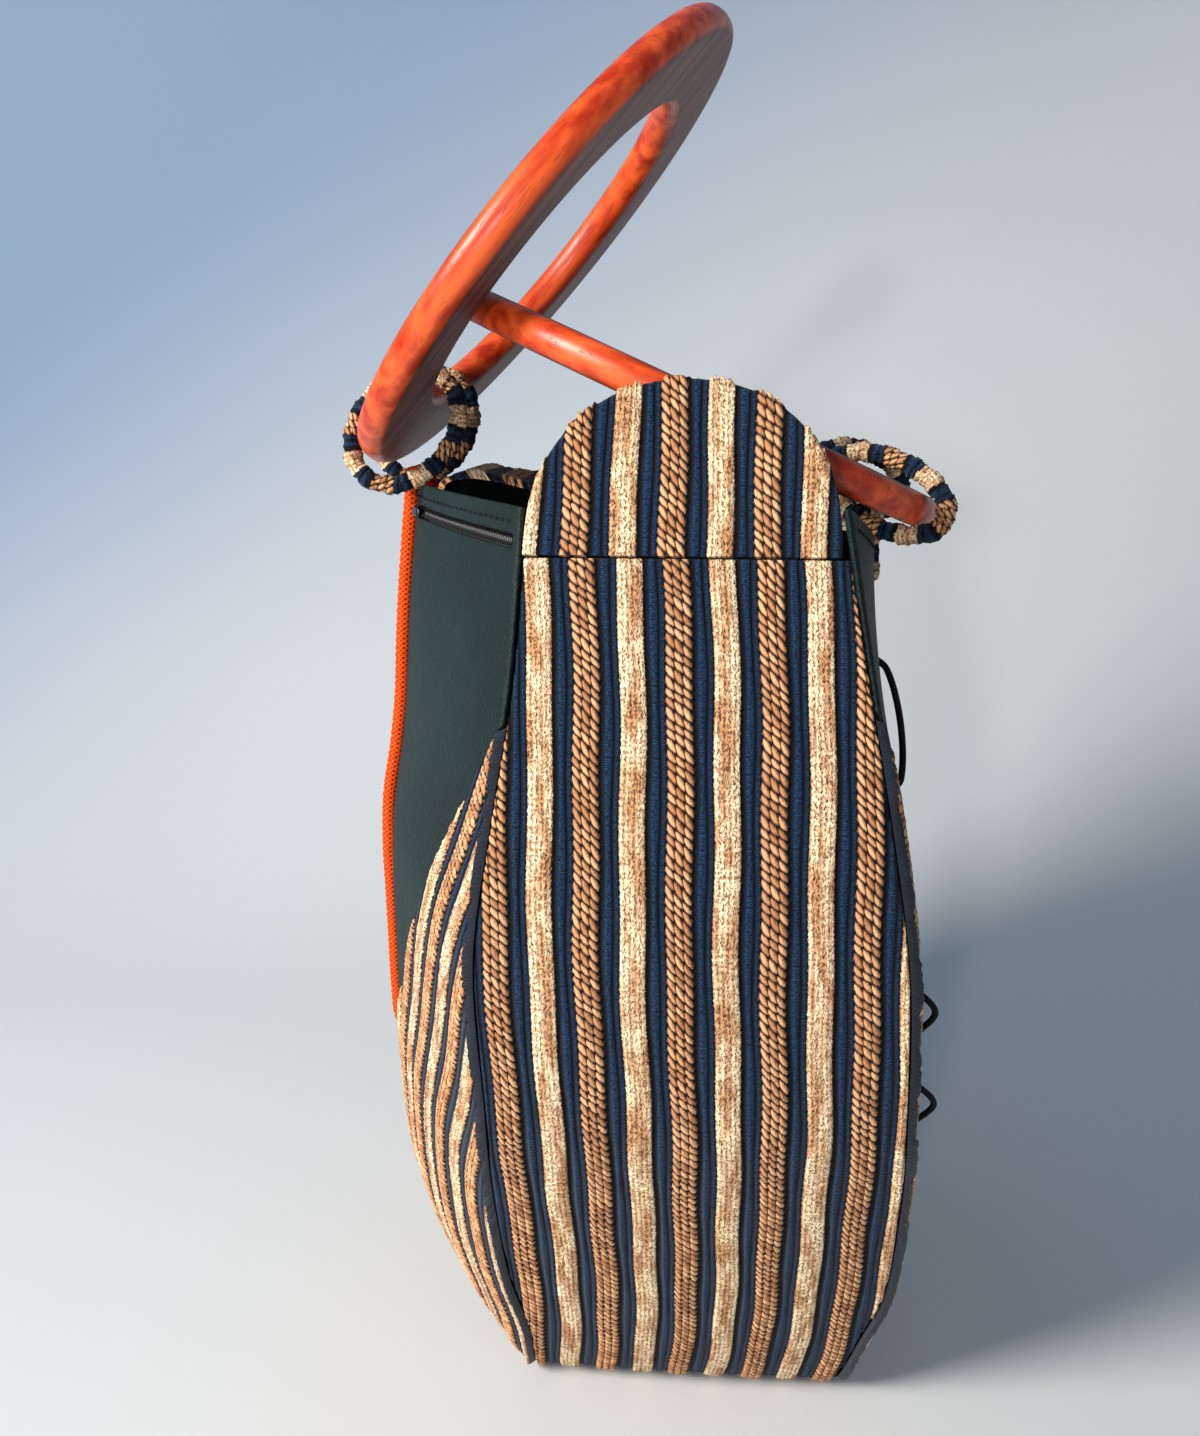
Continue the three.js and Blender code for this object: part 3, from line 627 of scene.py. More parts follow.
# Half of the gap to the leather as a share of the height, longer where the boundary slants.
FABRIC_SETBACK = SEAM_GAP / 2 / RIM_HEIGHT * 1.6
LEATHER_SETBACK = SEAM_GAP / 2 / RIM_HEIGHT * 1.7
SEAM_U = SEAM_GAP / 2 / HALF_WIDTH
CHEVRON_TURN, CHEVRON_EASE, CHEVRON_SLANT = 0.33, 0.025, 1.1
CHEVRON_COUNT, CHEVRON_STRETCH, CHEVRON_LAG = 10, 1.05, 0.1
ROW_CROWDING, EDGE_SLOPE = 1.25, 0.62


def above_floor(points):
    points[..., 2] = np.maximum(points[..., 2], 0.0)
    return points


def chevron(u, h):
    """Stripe coordinates on a lower panel: straight below the turn, slanting out above it."""
    rise = np.logaddexp(0, (h - CHEVRON_TURN) / CHEVRON_EASE) * CHEVRON_EASE
    across = (np.abs(u) - CHEVRON_SLANT * rise - 0.5) * HALF_PERIOD * CHEVRON_COUNT
    along = h * RIM_HEIGHT * CHEVRON_STRETCH + rise * RIM_HEIGHT * CHEVRON_LAG
    return across, along


def add_fabric(name, node, face, boundary, u, rows, strides):
    """Lower panel at columns u; its lining keeps only the rows and columns at these strides."""
    front = face is front_face
    top = boundary(u) - FABRIC_SETBACK
    h = (np.linspace(0, 1, rows) ** ROW_CROWDING)[:, None] * top
    u = np.broadcast_to(u, h.shape)
    p, q = chevron(u, h)
    reach = np.minimum(1 - np.abs(u), np.abs(u)) if front else 1 - np.abs(u)
    edge = np.minimum((top - h) * RIM_HEIGHT * EDGE_SLOPE, reach * half_width(h))
    outer = outside(face, u, h, (GROUND + relief(p, q)) * rolled(edge, SEAM_ROLL))
    coarse = tuple(slice(None, None, stride) for stride in strides)
    inner = outside(face, u, h, LINING_LIFT)[coarse]
    uv = stacked(p, q)
    outward = np.array([0, -1 if front else 1, 0])
    piece = lined_panel(name, above_floor(outer), inner, uv, uv[coarse], outward)
    finish(piece, "striped_fabric", node)


ENDS = ((1, "near"), (-1, "far"))
half_panel = np.minimum(SEAM_U + np.linspace(0, 1, 190) ** 0.85, 1)[None, :]
whole_panel = np.linspace(-1, 1, 260)[None, :]
for side, end in ENDS:
    name, node = f"front_{end}_stripes", f"front_fabric_{end}"
    add_fabric(name, node, front_face, front_boundary, half_panel * side, 300, (6, 6))
add_fabric("back_stripes", "back_fabric", back_face, back_boundary, whole_panel, 210, (7, 11))

GUSSET_TOP = 1 - TAB_SEAM_DROP / RIM_HEIGHT
ROW_PITCH = 0.62


def stripe_columns(half):
    """Offsets across a strip, with points on every stripe's edges, out past both sides."""
    tan = np.linspace(-TAN_HALF, TAN_HALF, 10)
    navy = np.linspace(TAN_HALF, HALF_PERIOD - TAN_HALF, 7)[1:-1]
    period = np.concatenate([tan, navy])
    count = int(half / HALF_PERIOD) + 2
    return np.concatenate([period + k * HALF_PERIOD for k in range(-count, count + 1)])


def gusset_path():
    """Stations of the strip down the near side and to the middle of the floor."""
    h = (GUSSET_TOP * np.linspace(0, 1, 4000) ** 1.6)[::-1]
    x = half_width(h) - FABRIC
    floor = np.linspace(x[-1], 0, 400)[1:]
    x = np.concatenate([x, floor])
    h = np.concatenate([h, np.zeros(len(floor))])
    z = level_z(h)
    q = lengths_along(stacked(x, z))
    at = np.linspace(0, q[-1], int(q[-1] / ROW_PITCH))
    return at, np.interp(at, q, x), np.interp(at, q, z), np.interp(at, q, h)


def crown(h, t):
    """Outward bow of the strip at a share t of its half width."""
    return GUSSET_CROWN * level("crown", h)[:, None] * (1 - t ** 2)


def add_gusset(side, name):
    q, x, z, h = gusset_path()
    tangent = unit(stacked(np.gradient(x), np.gradient(z)))
    normal = stacked(-tangent[:, 1], tangent[:, 0])

    def surface(rows, across, lift):
        return stacked(
            (x[rows, None] + normal[rows, :1] * lift) * side,
            sway(h[rows])[:, None] + across,
            z[rows, None] + normal[rows, 1:] * lift,
        )

    half = (gusset_half(h) + SEAM_TOUCH)[:, None]
    y = np.clip(stripe_columns(GUSSET_WIDTH / 2)[None, :] - BRAID_OFFSET, -half, half)
    p = y + BRAID_OFFSET
    along = np.broadcast_to(q[:, None], y.shape)
    edge = np.minimum(half - np.abs(y), along * 1.6)
    lift = crown(h, y / half) + (GROUND + relief(p, -along)) * rolled(edge, SEAM_ROLL)
    outer = above_floor(surface(slice(None), y, lift))
    rows = np.arange(0, len(q), 8)
    t = np.linspace(-1, 1, 9)
    inner = surface(rows, half[rows] * t, crown(h[rows], t) + LINING_LIFT)
    uv = stacked(p, -along)
    inner_uv = stacked(half[rows] * t, -q[rows, None])
    outward = np.array([side, 0, -0.2])
    piece = lined_panel(f"{name}_gusset_stripes", outer, inner, uv, inner_uv, outward)
    finish(piece, "striped_fabric", "gusset_strip")


for side, end in ENDS:
    add_gusset(side, end)


def bezier(points, t):
    a, b, c, d = (np.asarray(v, float) for v in points)
    t = t[:, None]
    return a * (1 - t) ** 3 + 3 * b * t * (1 - t) ** 2 + 3 * c * t * t * (1 - t) + d * t ** 3


TAB_SHIFT, TAB_SPREAD, TAB_ROLL, TAB_ALONG, TAB_RAG = 0.8, 0.06, 1.2, 300, 0.9
SEWN_LINE, SEWN_HALF, SEWN_DEPTH = 3.4, 0.45, 0.5


def tab_outline():
    half = TAB_WIDTH / 2
    straight = TAB_HEIGHT - TAB_ROUND
    knee = straight + TAB_ROUND * 0.6
    corners = [(half, straight), (half, knee), (half * 0.6, TAB_HEIGHT), (0, TAB_HEIGHT)]
    side = stacked(np.full(12, half), np.linspace(0, straight, 12))
    right = np.concatenate([side[:-1], bezier(corners, np.linspace(0, 1, 120))])
    left = right[::-1] * (-1, 1)
    return np.concatenate([right, left[1:]])


def add_tab(side, name):
    """Rounded end tab: two woven sheets that meet at its outline, ragged where a tan stripe ends."""
    outline = tab_outline()
    right = outline[:len(outline) // 2 + 1]
    limit = TAB_WIDTH / 2 - 0.01
    y = np.clip(stripe_columns(TAB_WIDTH / 2) - BRAID_OFFSET - TAB_SHIFT, -limit, limit)
    p = y + BRAID_OFFSET + TAB_SHIFT
    top = np.interp(np.abs(y), right[::-1, 0], right[::-1, 1])
    tan = np.abs(p - np.round(p / HALF_PERIOD) * HALF_PERIOD) < TAN_HALF
    top = top + np.where(tan, TAB_RAG + 0.5 * np.sin(y * 3.1), 0.0)
    rows = np.arange(0, TAB_HEIGHT + 0.6, ROW_PITCH)
    z = np.minimum(rows[:, None], top[None, :])
    y = np.broadcast_to(y, z.shape)
    p = np.broadcast_to(p, z.shape)
    gap = np.hypot(y[..., None] - outline[:, 0], z[..., None] - outline[:, 1]).min(-1)
    gap = np.where(z >= top - 1e-6, 0, gap)
    sewn = 1 - SEWN_DEPTH * np.exp(-((gap - SEWN_LINE) / SEWN_HALF) ** 2) * (z > 2)
    foot = np.array([half_width(GUSSET_TOP) - FABRIC, sway(GUSSET_TOP), level_z(GUSSET_TOP)], float)
    lean = math.atan2(half_width(GUSSET_TOP) - half_width(1), level_z(1) - level_z(GUSSET_TOP))
    outward = np.array([side * math.cos(lean), 0, math.sin(lean)])
    upward = np.array([-side * math.sin(lean), 0, math.cos(lean)])
    origin = foot * (side, 1, 1) + upward * SEAM_GAP + outward * TAB_THICKNESS / 2
    spread = y * (1 + np.where(y < 0, TAB_SPREAD, 0.0) * (1 - z / TAB_HEIGHT))
    flat = origin + spread[..., None] * np.array([0, 1, 0]) + z[..., None] * upward
    uv = stacked(p, z + TAB_ALONG)
    sheets = []
    for sign in (1, -1):
        raised = TAB_THICKNESS / 2 - GROUND_DROP + relief(p, z + TAB_ALONG) * sewn
        sheet = flat + outward * (sign * raised * rolled(gap, TAB_ROLL))[..., None]
        faces = quads(*z.shape)
        faces = facing(sheet, faces[whole(sheet, faces)], outward * sign)
        sheets.append((sheet, faces, uv, 0))
    finish(joined(f"{name}_tab_stripes", sheets, [WEAVE]), "striped_fabric", f"{name}_tab")


for side, end in ENDS:
    add_tab(side, end)

# The slot runs on a little past the zip's end in the solids.
ZIP_CUT = 0.97
SLOT_HALF = ZIP_SLOT / 2 / RIM_HEIGHT
SLOT_ROWS = (ZIP_HEIGHT - SLOT_HALF, ZIP_HEIGHT + SLOT_HALF)


def slimmed(piece, thickness):
    """Gives a sheet its thickness on the side away from its normals."""
    thick = piece.modifiers.new("thickness", "SOLIDIFY")
    thick.thickness = thickness * MM
    thick.offset = -1


LEATHER_SWELL, SWELL_FADE, TURN_GAP, TURN_ROLL, SOFT_EDGE = 0.25, 12, 0.3, 2.6, 0.4
LEATHER_SPREAD = 110


def add_leather(name, node, face, u, boundary, rim, split, slot=None):
    """Leather panel from its boundary to its rim; slot is the u range left open between two rows."""
    low = (boundary(u) + LEATHER_SETBACK)[None, :]
    high = rim(u)[None, :]
    below = np.linspace(0, 1, 46)[:, None]
    above = np.linspace(0, 1, 6)[1:, None]
    h = np.concatenate([
        low + (split[0] - low) * below,
        np.full((1, len(u)), split[1]),
        split[1] + (high - split[1]) * above,
    ])
    across = np.broadcast_to(u, h.shape)
    swell = LEATHER_SWELL * np.sin(across * 9 + h * 7) * np.sin(h * 23) * (1 - across ** 2)
    edge = np.minimum(h - low, high - h) * RIM_HEIGHT
    turned = rolled((1 - np.abs(across)) * half_width(h) + TURN_GAP, TURN_ROLL)
    lift = (LEATHER - 0.05) * turned + swell * ease(0, SWELL_FADE, edge)
    points = outside(face, across, h, lift)
    faces = quads(*h.shape)
    if slot is not None:
        middle = across.ravel()[faces].mean(1)
        height = h.ravel()[faces].mean(1)
        opening = (height > split[0]) & (height < split[1]) & (middle > slot[0]) & (middle < slot[1])
        faces = faces[~opening]
    faces = facing(points, faces, np.array([0, -1 if face is front_face else 1, 0]))
    uv = stacked(across * LEATHER_SPREAD, h * RIM_HEIGHT)
    piece = mesh_object(name, points, faces, [GREEN], uv)
    slimmed(piece, LEATHER - 0.15)
    soft = piece.modifiers.new("soft_edges", "BEVEL")
    soft.width = SOFT_EDGE * MM
    soft.segments = 2
    soft.limit_method = "ANGLE"
    finish(piece, "leather", node)


# Columns of the leather, close where it turns in at the seams.
turned_in = np.linspace(0.97, 1, 8)
near_u = np.unique(np.concatenate([np.linspace(SEAM_U, 0.96, 50), turned_in, [ZIP_START, ZIP_CUT]]))
rear_u = np.unique(np.concatenate([np.linspace(-0.96, 0.96, 90), turned_in, -turned_in]))
zip_span = (ZIP_START, ZIP_CUT)
for name, u, slot in (("near", near_u, zip_span), ("far", -near_u[::-1], None)):
    node = f"front_leather_{name}"
    add_leather(f"{name}_leather", node, front_face, u, front_boundary, np.ones_like, SLOT_ROWS, slot)
add_leather("rear_leather", "back_leather", back_face, rear_u, back_boundary, back_rim, (0.9, 0.905))


def circles(middle, side, other, turn, radius):
    """Rings of points round each middle, in the plane of side and other."""
    around = np.cos(turn)[..., None] * side[:, None] + np.sin(turn)[..., None] * other[:, None]
    return middle[:, None] + radius[..., None] * around


def tube(name, path, radius, material, sides, closed=False, swell=None, up=(1, 0, 0)):
    """Round cord along a path in millimetres; swell gives its radius share at turn and length."""
    q = lengths_along(path)
    ahead = np.roll(path, -1, 0) - np.roll(path, 1, 0) if closed else np.gradient(path, axis=0)
    tangent = unit(ahead)
    side = np.broadcast_to(np.asarray(up, float), path.shape)
    side = unit(side - (side * tangent).sum(1, keepdims=True) * tangent)
    turn = np.linspace(0, 2 * np.pi, sides + 1)[None, :]
    share = np.ones((len(path), sides + 1)) if swell is None else swell(turn, q[:, None])
    points = circles(path, side, np.cross(tangent, side), turn, radius * share)
    uv = stacked(q[:, None], turn * radius)
    if closed:
        whole_length = q[-1] + np.linalg.norm(path[0] - path[-1])
        end = stacked(whole_length, turn * radius)
        points = np.concatenate([points, points[:1]])
        uv = np.concatenate([uv, end])
    faces = quads(*points.shape[:2])
    nearest = path[np.minimum(faces[:, 0] // (sides + 1), len(path) - 1)]
    faces = facing(points, faces, middles(points, faces) - nearest)
    return mesh_object(name, points, faces, [material], uv)


def axes_of(node):
    """Centre and main axes of a node, longest first, with its half sizes along them."""
    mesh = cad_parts[node].data
    points = np.empty(len(mesh.vertices) * 3)
    mesh.vertices.foreach_get("co", points)
    points = points.reshape(-1, 3) / MM
    centre = (points.max(0) + points.min(0)) / 2
    _, vectors = np.linalg.eigh(np.cov((points - centre).T))
    axes = vectors[:, ::-1].T
    low = (points @ axes.T).min(0)
    high = (points @ axes.T).max(0)
    return axes.T @ ((low + high) / 2), axes, (high - low) / 2


LOOP_BASE, LOOP_RELIEF, LOOP_FUZZ = 0.82, 0.22, 0.07


def add_loop(node):
    """Fabric wrapped loop round a handle."""
    centre, axes, sizes = axes_of(node)
    radius = sizes[2]
    turn = np.linspace(0, 2 * np.pi, 190, endpoint=False)[:, None]
    reach = (sizes[:2] - radius)[:, None] * axes[:2]
    path = centre + np.cos(turn) * reach[0] + np.sin(turn) * reach[1]

    def swell(angle, q):
        knots = relief(q * 1.5 + angle * 0.9, angle * 9)
        fuzz = rng.uniform(-LOOP_FUZZ, LOOP_FUZZ, knots.shape) * (angle < 6)
        return LOOP_BASE + LOOP_RELIEF * knots + fuzz

    piece = tube(f"{node}_wrap", path, radius, WEAVE, 18, True, swell, axes[2])
    finish(piece, "striped_fabric", node)


for loop in ("front_near_loop", "front_far_loop", "back_near_loop", "back_far_loop"):
    add_loop(loop)

WALL_ROUND = 4.2
FLAT_START, FLAT_FULL = 0.86, 0.99


def add_ring(node):
    """Wooden ring with rounded walls; its flat faces carry a mask for their stain, dulled with painted
    shade and painted reflection.
    """
    centre, axes, sizes = axes_of(node)
    outer = sizes[0]
    inner = outer - HANDLE_BAND
    half = HANDLE_BOARD / 2
    bend = np.linspace(-np.pi / 2, np.pi / 2, 15)
    wall = WALL_ROUND * np.cos(bend) ** 0.8 - WALL_ROUND
    rise = half * np.sin(bend)
    flat = np.linspace(outer - WALL_ROUND, inner + WALL_ROUND, 7)[1:-1]
    section = np.concatenate([
        stacked(outer + wall, rise),
        stacked(flat, np.full(len(flat), half)),
        stacked(inner - wall[::-1], rise[::-1]),
        stacked(flat[::-1], np.full(len(flat), -half)),
    ])
    lying = ease(FLAT_START, FLAT_FULL, np.abs(section[:, 1]) / half)
    turn = np.linspace(0, 2 * np.pi, 129)[:-1, None]
    ring = stacked(section[:, 0] * np.cos(turn), section[:, 0] * np.sin(turn), section[:, 1])
    faces = band_quads(len(turn), len(section), closed=True)
    middle = middles(ring, faces)
    spine = unit(middle * (1, 1, 0)) * (outer + inner) / 2
    piece = mesh_object(f"{node}_wood", ring, facing(ring, faces, middle - spine), [WOOD])
    mask = piece.data.attributes.new("flat", "FLOAT", "POINT")
    mask.data.foreach_set("value", np.tile(lying, len(turn)))
    normal = unit(axes[2])
    first = unit(np.array([1.0, 0, 0]) - normal[0] * normal)
    place = np.eye(4)
    place[:3] = stacked(first, np.cross(normal, first), normal, centre * MM)
    piece.matrix_world = Matrix(place.tolist())
    finish(piece, "stained_wood", node)


add_ring("front_handle")
add_ring("back_handle")


def smooth_path(points, count):
    """Smooth line of count points through the given ones."""
    points = np.asarray(points, float)
    step = np.linalg.norm(np.diff(points, axis=0), axis=1)
    chord = np.concatenate([[0], np.cumsum(np.sqrt(step))])
    at = np.linspace(0, chord[-1], count)
    return np.stack([hermite(chord, points[:, axis], at) for axis in range(3)], -1)


PIPING_SINK, PIPING_PLUMP, PIPING_TAPER = 0.5, 0.45, 9


def add_piping():
    inside = PIPING / 2 + 2 * SEAM_GAP
    diagonal = inside * math.sqrt(0.5)
    clear = LEATHER + PIPING / 2 - PIPING_SINK
    top = front_face(0.0, 1.0)
    points = [
        outside(front_face, 0, 1 - PIPING_TUCK / RIM_HEIGHT, -inside),
        outside(front_face, 0, 1 - PIPING / RIM_HEIGHT, -inside),
        top + (0, diagonal, diagonal),
        top + (0, -LEATHER / 2, inside + SEAM_GAP),
        top + (0, -LEATHER - diagonal, diagonal),
        outside(front_face, 0, 1 - PIPING / RIM_HEIGHT, clear),
    ]
    lowest = FRONT_POINT + (FABRIC + PIPING) / RIM_HEIGHT
    for height in np.linspace(PIPING_BEND_END, lowest, 11):
        points.append(outside(front_face, 0, height, clear))
    path = smooth_path(points, 560)
    length = lengths_along(path)[-1]

    def swell(angle, q):
        twist = 1 + 0.07 * np.cos(2 * angle + q * 2.4)
        return twist * (1 - 0.5 * ease(length - PIPING_TAPER, length, q))

    piece = tube("orange_piping", path, PIPING / 2 + PIPING_PLUMP, ORANGE, 16, swell=swell)
    finish(piece, "orange_cord", "piping_cord")


add_piping()

# Where the lace bows out: upper and lower end, and its share of the full bow.
BOWS = ((0.84, 0.72, 0.3), (0.515, 0.445, 1), (0.4, 0.33, 1))


def add_lace():
    behind = -LACE / 2 - SEAM_GAP
    clear = FABRIC + LACE / 2 + SEAM_GAP
    turn = LACE / RIM_HEIGHT
    stations = [(BOWS[0][0] + 6 * turn, behind)]
    for high, low, out in BOWS:
        stations += [
            (high + 2 * turn, behind), (high - turn, clear),
            ((high + low) / 2, clear + out * LACE_BOW),
            (low + turn, clear), (low - 2 * turn, behind),
        ]
    stations.append((BOWS[-1][1] - 6 * turn, behind))
    points = [outside(back_face, LACE_ACROSS, height, lift) for height, lift in stations]
    piece = tube("elastic_lace", smooth_path(points, 360), LACE / 2, BLACK_CORD, 10)
    finish(piece, "black_elastic", "back_lace")


add_lace()

# The strap's rise over its run across the mouth, and where the weave starts on it.
STRAP_RUN = ((0.06, 5), (0.14, 4), (0.3, -1), (0.55, -5), (0.8, -7))
STRAP_P, STRAP_Q, STRAP_ROLL = 3.0, 60, 2.0


def strap_line(x, distance):
    """Stations of the strap at x, from its hem inside the front to its end outside the back."""
    tape = ZIP_TAPE + 3 * SEAM_GAP
    half = STRAP_WIDTH / 2

    def inside(height):
        return front_face(half / half_width(height), height)[1] + tape

    u = x / half_width(1)
    over = outside(back_face, u, back_rim(u), LEATHER / 2)
    hem = 1 - STRAP_HEM / RIM_HEIGHT
    under = STRAP_THICKNESS - distance
    start = inside(1)
    line = [(inside(hem) + under, level_z(hem)), (start + under, level_z(1))]
    for row, (across, rise) in enumerate(STRAP_RUN):
        y = start + (over[1] - start) * across + (under / 2 if row == 0 else 0)
        line.append((y, level_z(1) + rise - under))
    line.append((over[1] - LEATHER, over[2] + STRAP_CLEAR + distance))
    line.append((over[1] + LEATHER + distance * STRAP_LIP, over[2] + STRAP_CLEAR + distance * STRAP_LIP))
    for drop in (BACK_RIM_DROP + STRAP_OVERHANG / 3, BACK_RIM_DROP + STRAP_OVERHANG):
        height = 1 - drop / RIM_HEIGHT
        down = outside(back_face, x / half_width(height), height, LEATHER + STRAP_CLEAR + distance)
        line.append((down[1], down[2]))
    return np.array(line)


def add_strap():
    rows, columns = 230, 44
    xs = np.linspace(-STRAP_WIDTH / 2, STRAP_WIDTH / 2, columns)
    sheets = []
    for distance in (0.0, STRAP_THICKNESS):
        lines = [strap_line(x, distance) for x in xs]
        chord = lengths_along(lines[columns // 2])
        length = chord[-1]
        at = np.linspace(0, length, rows)
        grid = np.asarray([[hermite(chord, line[:, axis], at) for axis in (0, 1)] for line in lines])
        across = np.broadcast_to(xs[None, :, None], (rows, columns, 1))
        sheets.append(np.concatenate([across, grid.transpose(2, 0, 1)], -1))
    low, high = sheets
    along = np.broadcast_to(np.linspace(0, length, rows)[:, None], (rows, columns))
    across = np.broadcast_to(xs[None, :], (rows, columns))
    p, q = along + STRAP_P, across + STRAP_Q
    edge = np.minimum(STRAP_WIDTH / 2 - np.abs(across), np.minimum(along, length - along))
    share = (STRAP_THICKNESS - 0.5 + 0.6 * relief(p, q)) / STRAP_THICKNESS
    top = low + (high - low) * (share * rolled(edge + 0.02, STRAP_ROLL))[..., None]
    uv = stacked(p, q)
    kept = [np.unique(np.append(np.arange(0, count, 3), count - 1)) for count in (rows, columns)]
    coarse = np.ix_(*kept)
    under = low[coarse]
    upward = np.array([0, 0, 1])
    faces = facing(top, quads(rows, columns), upward)
    back = facing(under, quads(*under.shape[:2]), -upward)
    piece = joined("mouth_strap", [(top, faces, uv, 0), (under, back, uv[coarse], 1)], [WEAVE, GREEN])
    finish(piece, "striped_fabric", "closing_strap")


add_strap()

STITCH_LENGTH, STITCH_SPACING, STITCH_RADIUS, STITCH_INSET = 3.2, 1.35, 0.42, 4.2
STITCH_SIDES, STITCH_BITS = 6, 7
STITCH_LIFT = LEATHER + 0.05


def stitches(name, face, u, h):
    """Short thread stitches over a panel, each a rounded bar that dips at both ends."""
    points = outside(face, u, h, STITCH_LIFT)
    normals = outside(face, u, h, STITCH_LIFT + 1.0) - points
    q = lengths_along(points)
    count = int(q[-1] / (STITCH_LENGTH * STITCH_SPACING))
    bow = np.cos(np.linspace(-np.pi / 2, np.pi / 2, STITCH_BITS))
    turn = np.linspace(0, 2 * np.pi, STITCH_SIDES + 1)[None, :-1]
    sheets = []
    for i in range(count):
        at = q[-1] * (i + 0.5) / count + STITCH_LENGTH * np.linspace(-0.5, 0.5, STITCH_BITS)
        middle, up = (
            np.stack([np.interp(at, q, values[:, axis]) for axis in range(3)], -1)
            for values in (points, normals)
        )
        middle += up * (bow * STITCH_RADIUS * 1.1 - STITCH_RADIUS * 0.7)[:, None]
        side = np.cross(unit(middle[-1] - middle[0]), up)
        ring = circles(middle, side, up, turn, (STITCH_RADIUS * (0.45 + 0.55 * bow))[:, None])
        uv = stacked(at[:, None], turn)
        sheets.append((ring, band_quads(STITCH_BITS, STITCH_SIDES), uv, 0))
    finish(joined(name, sheets, [THREAD]), "zip_tape")


def add_stitching():
    inset = STITCH_INSET / RIM_HEIGHT
    half_line = np.linspace(0.03, 0.96, 60)
    whole_line = np.linspace(-0.95, 0.95, 90)
    stitches("rim_stitches_near", front_face, half_line, 1 - inset)
    stitches("rim_stitches_far", front_face, -half_line, 1 - inset)
    stitches("back_rim_stitches", back_face, whole_line, back_rim(whole_line) - inset)


add_stitching()

TAPE_HALF, TAPE_THICKNESS, TAPE_DEPTH = 7.6, 0.7, 0.35
COIL_PITCH, COIL_RADIUS = 1.3, 0.24
COIL_MIDDLE, COIL_REACH, COIL_LIFT, COIL_RISE = 0.55, 0.85, 0.75, 0.5
SLIDER_AT, SLIDER_HALF, SLIDER_WIDE, SLIDER_WAIST, SLIDER_HIGH = 9.0, 4.4, 1.9, 0.35, 1.05


def zip_line(u, across, lift):
    """Point beside the zip's middle line: across is in millimetres up, lift outward."""
    return outside(front_face, u, ZIP_HEIGHT + across / RIM_HEIGHT, lift)


def add_zip():
    u = np.linspace(ZIP_START - 0.02, ZIP_CUT + 0.01, 120)
    across = np.linspace(-TAPE_HALF, TAPE_HALF, 9)
    grid = np.stack([zip_line(u, value, -TAPE_DEPTH) for value in across])
    uv = stacked(u[None, :] * LEATHER_SPREAD, across[:, None])
    faces = facing(grid, quads(*grid.shape[:2]), np.array([0, -1, 0]))
    tape = mesh_object("zip_cloth", grid, faces, [TAPE], uv)
    slimmed(tape, TAPE_THICKNESS)
    finish(tape, "zip_tape", "zipper_tape")

    # The nylon coil: two rows of turns that meet in the middle of the slot.
    span = np.linspace(ZIP_START + 0.004, ZIP_CUT - 0.004, 1400)
    phase = 2 * np.pi * lengths_along(zip_line(span, 0.0, 0.0)) / COIL_PITCH
    for sign, name in ((1, "upper"), (-1, "lower")):
        across = sign * (COIL_MIDDLE + COIL_REACH * np.cos(phase))
        path = zip_line(span, across, COIL_LIFT + COIL_RISE * np.sin(phase))
        piece = tube(f"zip_coil_{name}", path, COIL_RADIUS, COIL, 5, up=(0, 0, 1))
        finish(piece, "zip_coil", "zipper_coil")


def squared(share):
    return np.sign(share) * np.abs(share) ** 0.5


def add_slider():
    """Slider: a waisted body that lies in the slot."""
    u = ZIP_START + SLIDER_AT / HALF_WIDTH
    centre = zip_line(u, 0.0, LEATHER + SEAM_GAP + 1.1)
    base = zip_line(u, 0.0, LEATHER)
    ahead = unit(zip_line(u + 0.05, 0.0, LEATHER) - base)
    out = zip_line(u, 0.0, LEATHER + 1) - base
    up = np.cross(out, ahead)
    rows, sides = 15, 24
    t = np.linspace(-1, 1, rows)[:, None, None]
    turn = np.linspace(0, 2 * np.pi, sides, endpoint=False)[:, None]
    waist = SLIDER_WIDE - SLIDER_WAIST * np.cos(t * np.pi / 2) ** 2
    close = np.sqrt(np.clip(1 - t ** 8, 0, 1))
    body = centre + t * SLIDER_HALF * ahead + close * waist * squared(np.cos(turn)) * up
    body = body + close * SLIDER_HIGH * squared(np.sin(turn)) * out
    faces = band_quads(rows, sides)
    faces = facing(body, faces, middles(body, faces) - centre)
    piece = mesh_object("zip_slider_body", body, faces, [METAL])
    finish(piece, "zip_metal", "zipper_slider")


add_zip()
add_slider()


# Stage, light and camera. The paper sweep turns up behind the bag, painted darker and bluer high on the
# left as shade.
SWEEP_FRONT, SWEEP_BEND, SWEEP_RADIUS, SWEEP_HEIGHT, SWEEP_HALF = 2500.0, -190.0, 560.0, 2400.0, 2500.0
EYE, PITCH, YAW = (418.7, -2.5, 324.0), 14.55, 4.29
SENSOR, LENS = 36, 36 * 1225 / 1436
SKY, SKY_STRENGTH = (0.42, 0.68, 1.0, 1), 0.26
# Each light's name, its place and target in metres, its size, power and colour.
LIGHTS = (
    ("window", (0.8, -1.05, 0.9), (0, 0, 0.2), 0.5, 34, (1.0, 0.95, 0.88)),
    ("front_lamp", (1.6, -0.34, 0.43), (0, 0, 0.25), 0.12, 8, (1.0, 0.97, 0.92)),
)


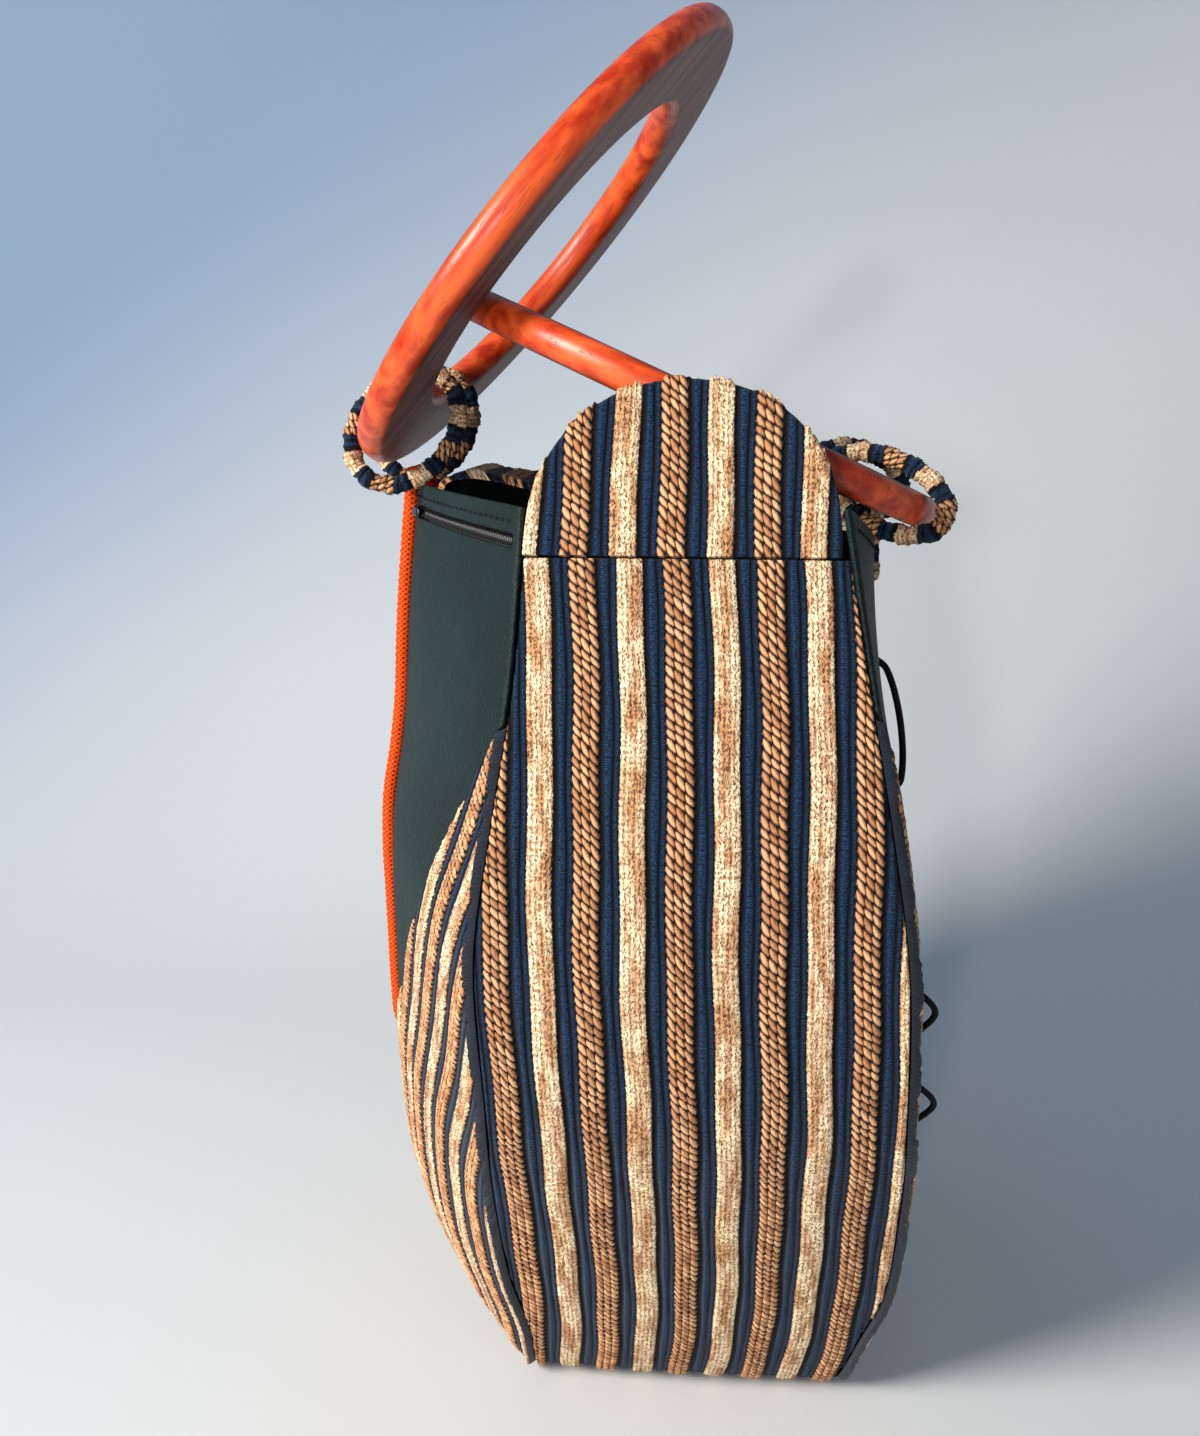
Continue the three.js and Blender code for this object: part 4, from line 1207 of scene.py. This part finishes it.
def add_stage():
    s = Shader("pale_paper", 0.9)
    at = s.coordinates()
    broad = s.noise(at, 1.2, 2.0)
    split = s.node("ShaderNodeSeparateXYZ")
    s.link(at, split.inputs[0])
    across, high = Value(s.tree, split.outputs[1]), Value(s.tree, split.outputs[2])
    # Painted shade: darker and bluer high on the left.
    shade = (high - across * 0.7 + broad * 0.2).ramp(0.1, 1.0)
    s.colour(s.mix(shade, (214, 216, 216), (128, 148, 172)))
    s.bump(s.noise(at, 700.0, 2.0), 0.05 * MM, 0.3)
    turn = np.linspace(0, np.pi / 2, 49)
    profile = [(SWEEP_FRONT, 0.0)]
    profile += [
        (SWEEP_BEND - SWEEP_RADIUS * math.sin(a), SWEEP_RADIUS * (1 - math.cos(a))) for a in turn
    ]
    profile.append((SWEEP_BEND - SWEEP_RADIUS, SWEEP_HEIGHT))
    points = np.array([[(x, y, z) for y in (-SWEEP_HALF, 0, SWEEP_HALF)] for x, z in profile])
    faces = facing(points, quads(*points.shape[:2]), np.array([0.3, 0, 1]))
    stage = mesh_object("paper_sweep", points, faces, [s.material])


def add_light(name, place, target, size, power, colour):
    lamp = bpy.data.lights.new(name, "AREA")
    lamp.shape = "DISK"
    lamp.size = size
    lamp.energy = power
    lamp.color = colour
    holder = placed(name, lamp)
    holder.location = place
    direction = Vector(target) - Vector(place)
    holder.rotation_mode = "QUATERNION"
    holder.rotation_quaternion = direction.to_track_quat("-Z", "Y")


def add_camera():
    pitch, yaw = math.radians(PITCH), math.radians(YAW)
    level_part = math.cos(pitch)
    forward = Vector((-level_part * math.cos(yaw), -level_part * math.sin(yaw), -math.sin(pitch)))
    right = Vector((-math.sin(yaw), math.cos(yaw), 0))
    up = right.cross(forward)
    camera = bpy.data.cameras.new("camera")
    camera.lens = LENS
    camera.sensor_width = SENSOR
    camera.clip_start = 0.01
    holder = placed("camera", camera)
    turn = Matrix((right, up, -forward)).transposed().to_4x4()
    turn.translation = Vector(EYE) * MM
    holder.matrix_world = turn
    bpy.context.scene.camera = holder


def add_world():
    world = bpy.data.worlds.new("studio")
    world.use_nodes = True
    ground = world.node_tree.nodes["Background"]
    ground.inputs["Color"].default_value = SKY
    ground.inputs["Strength"].default_value = SKY_STRENGTH
    bpy.context.scene.world = world


add_stage()
add_camera()
add_world()
for light in LIGHTS:
    add_light(*light)
bpy.context.scene.view_settings.view_transform = "Standard"
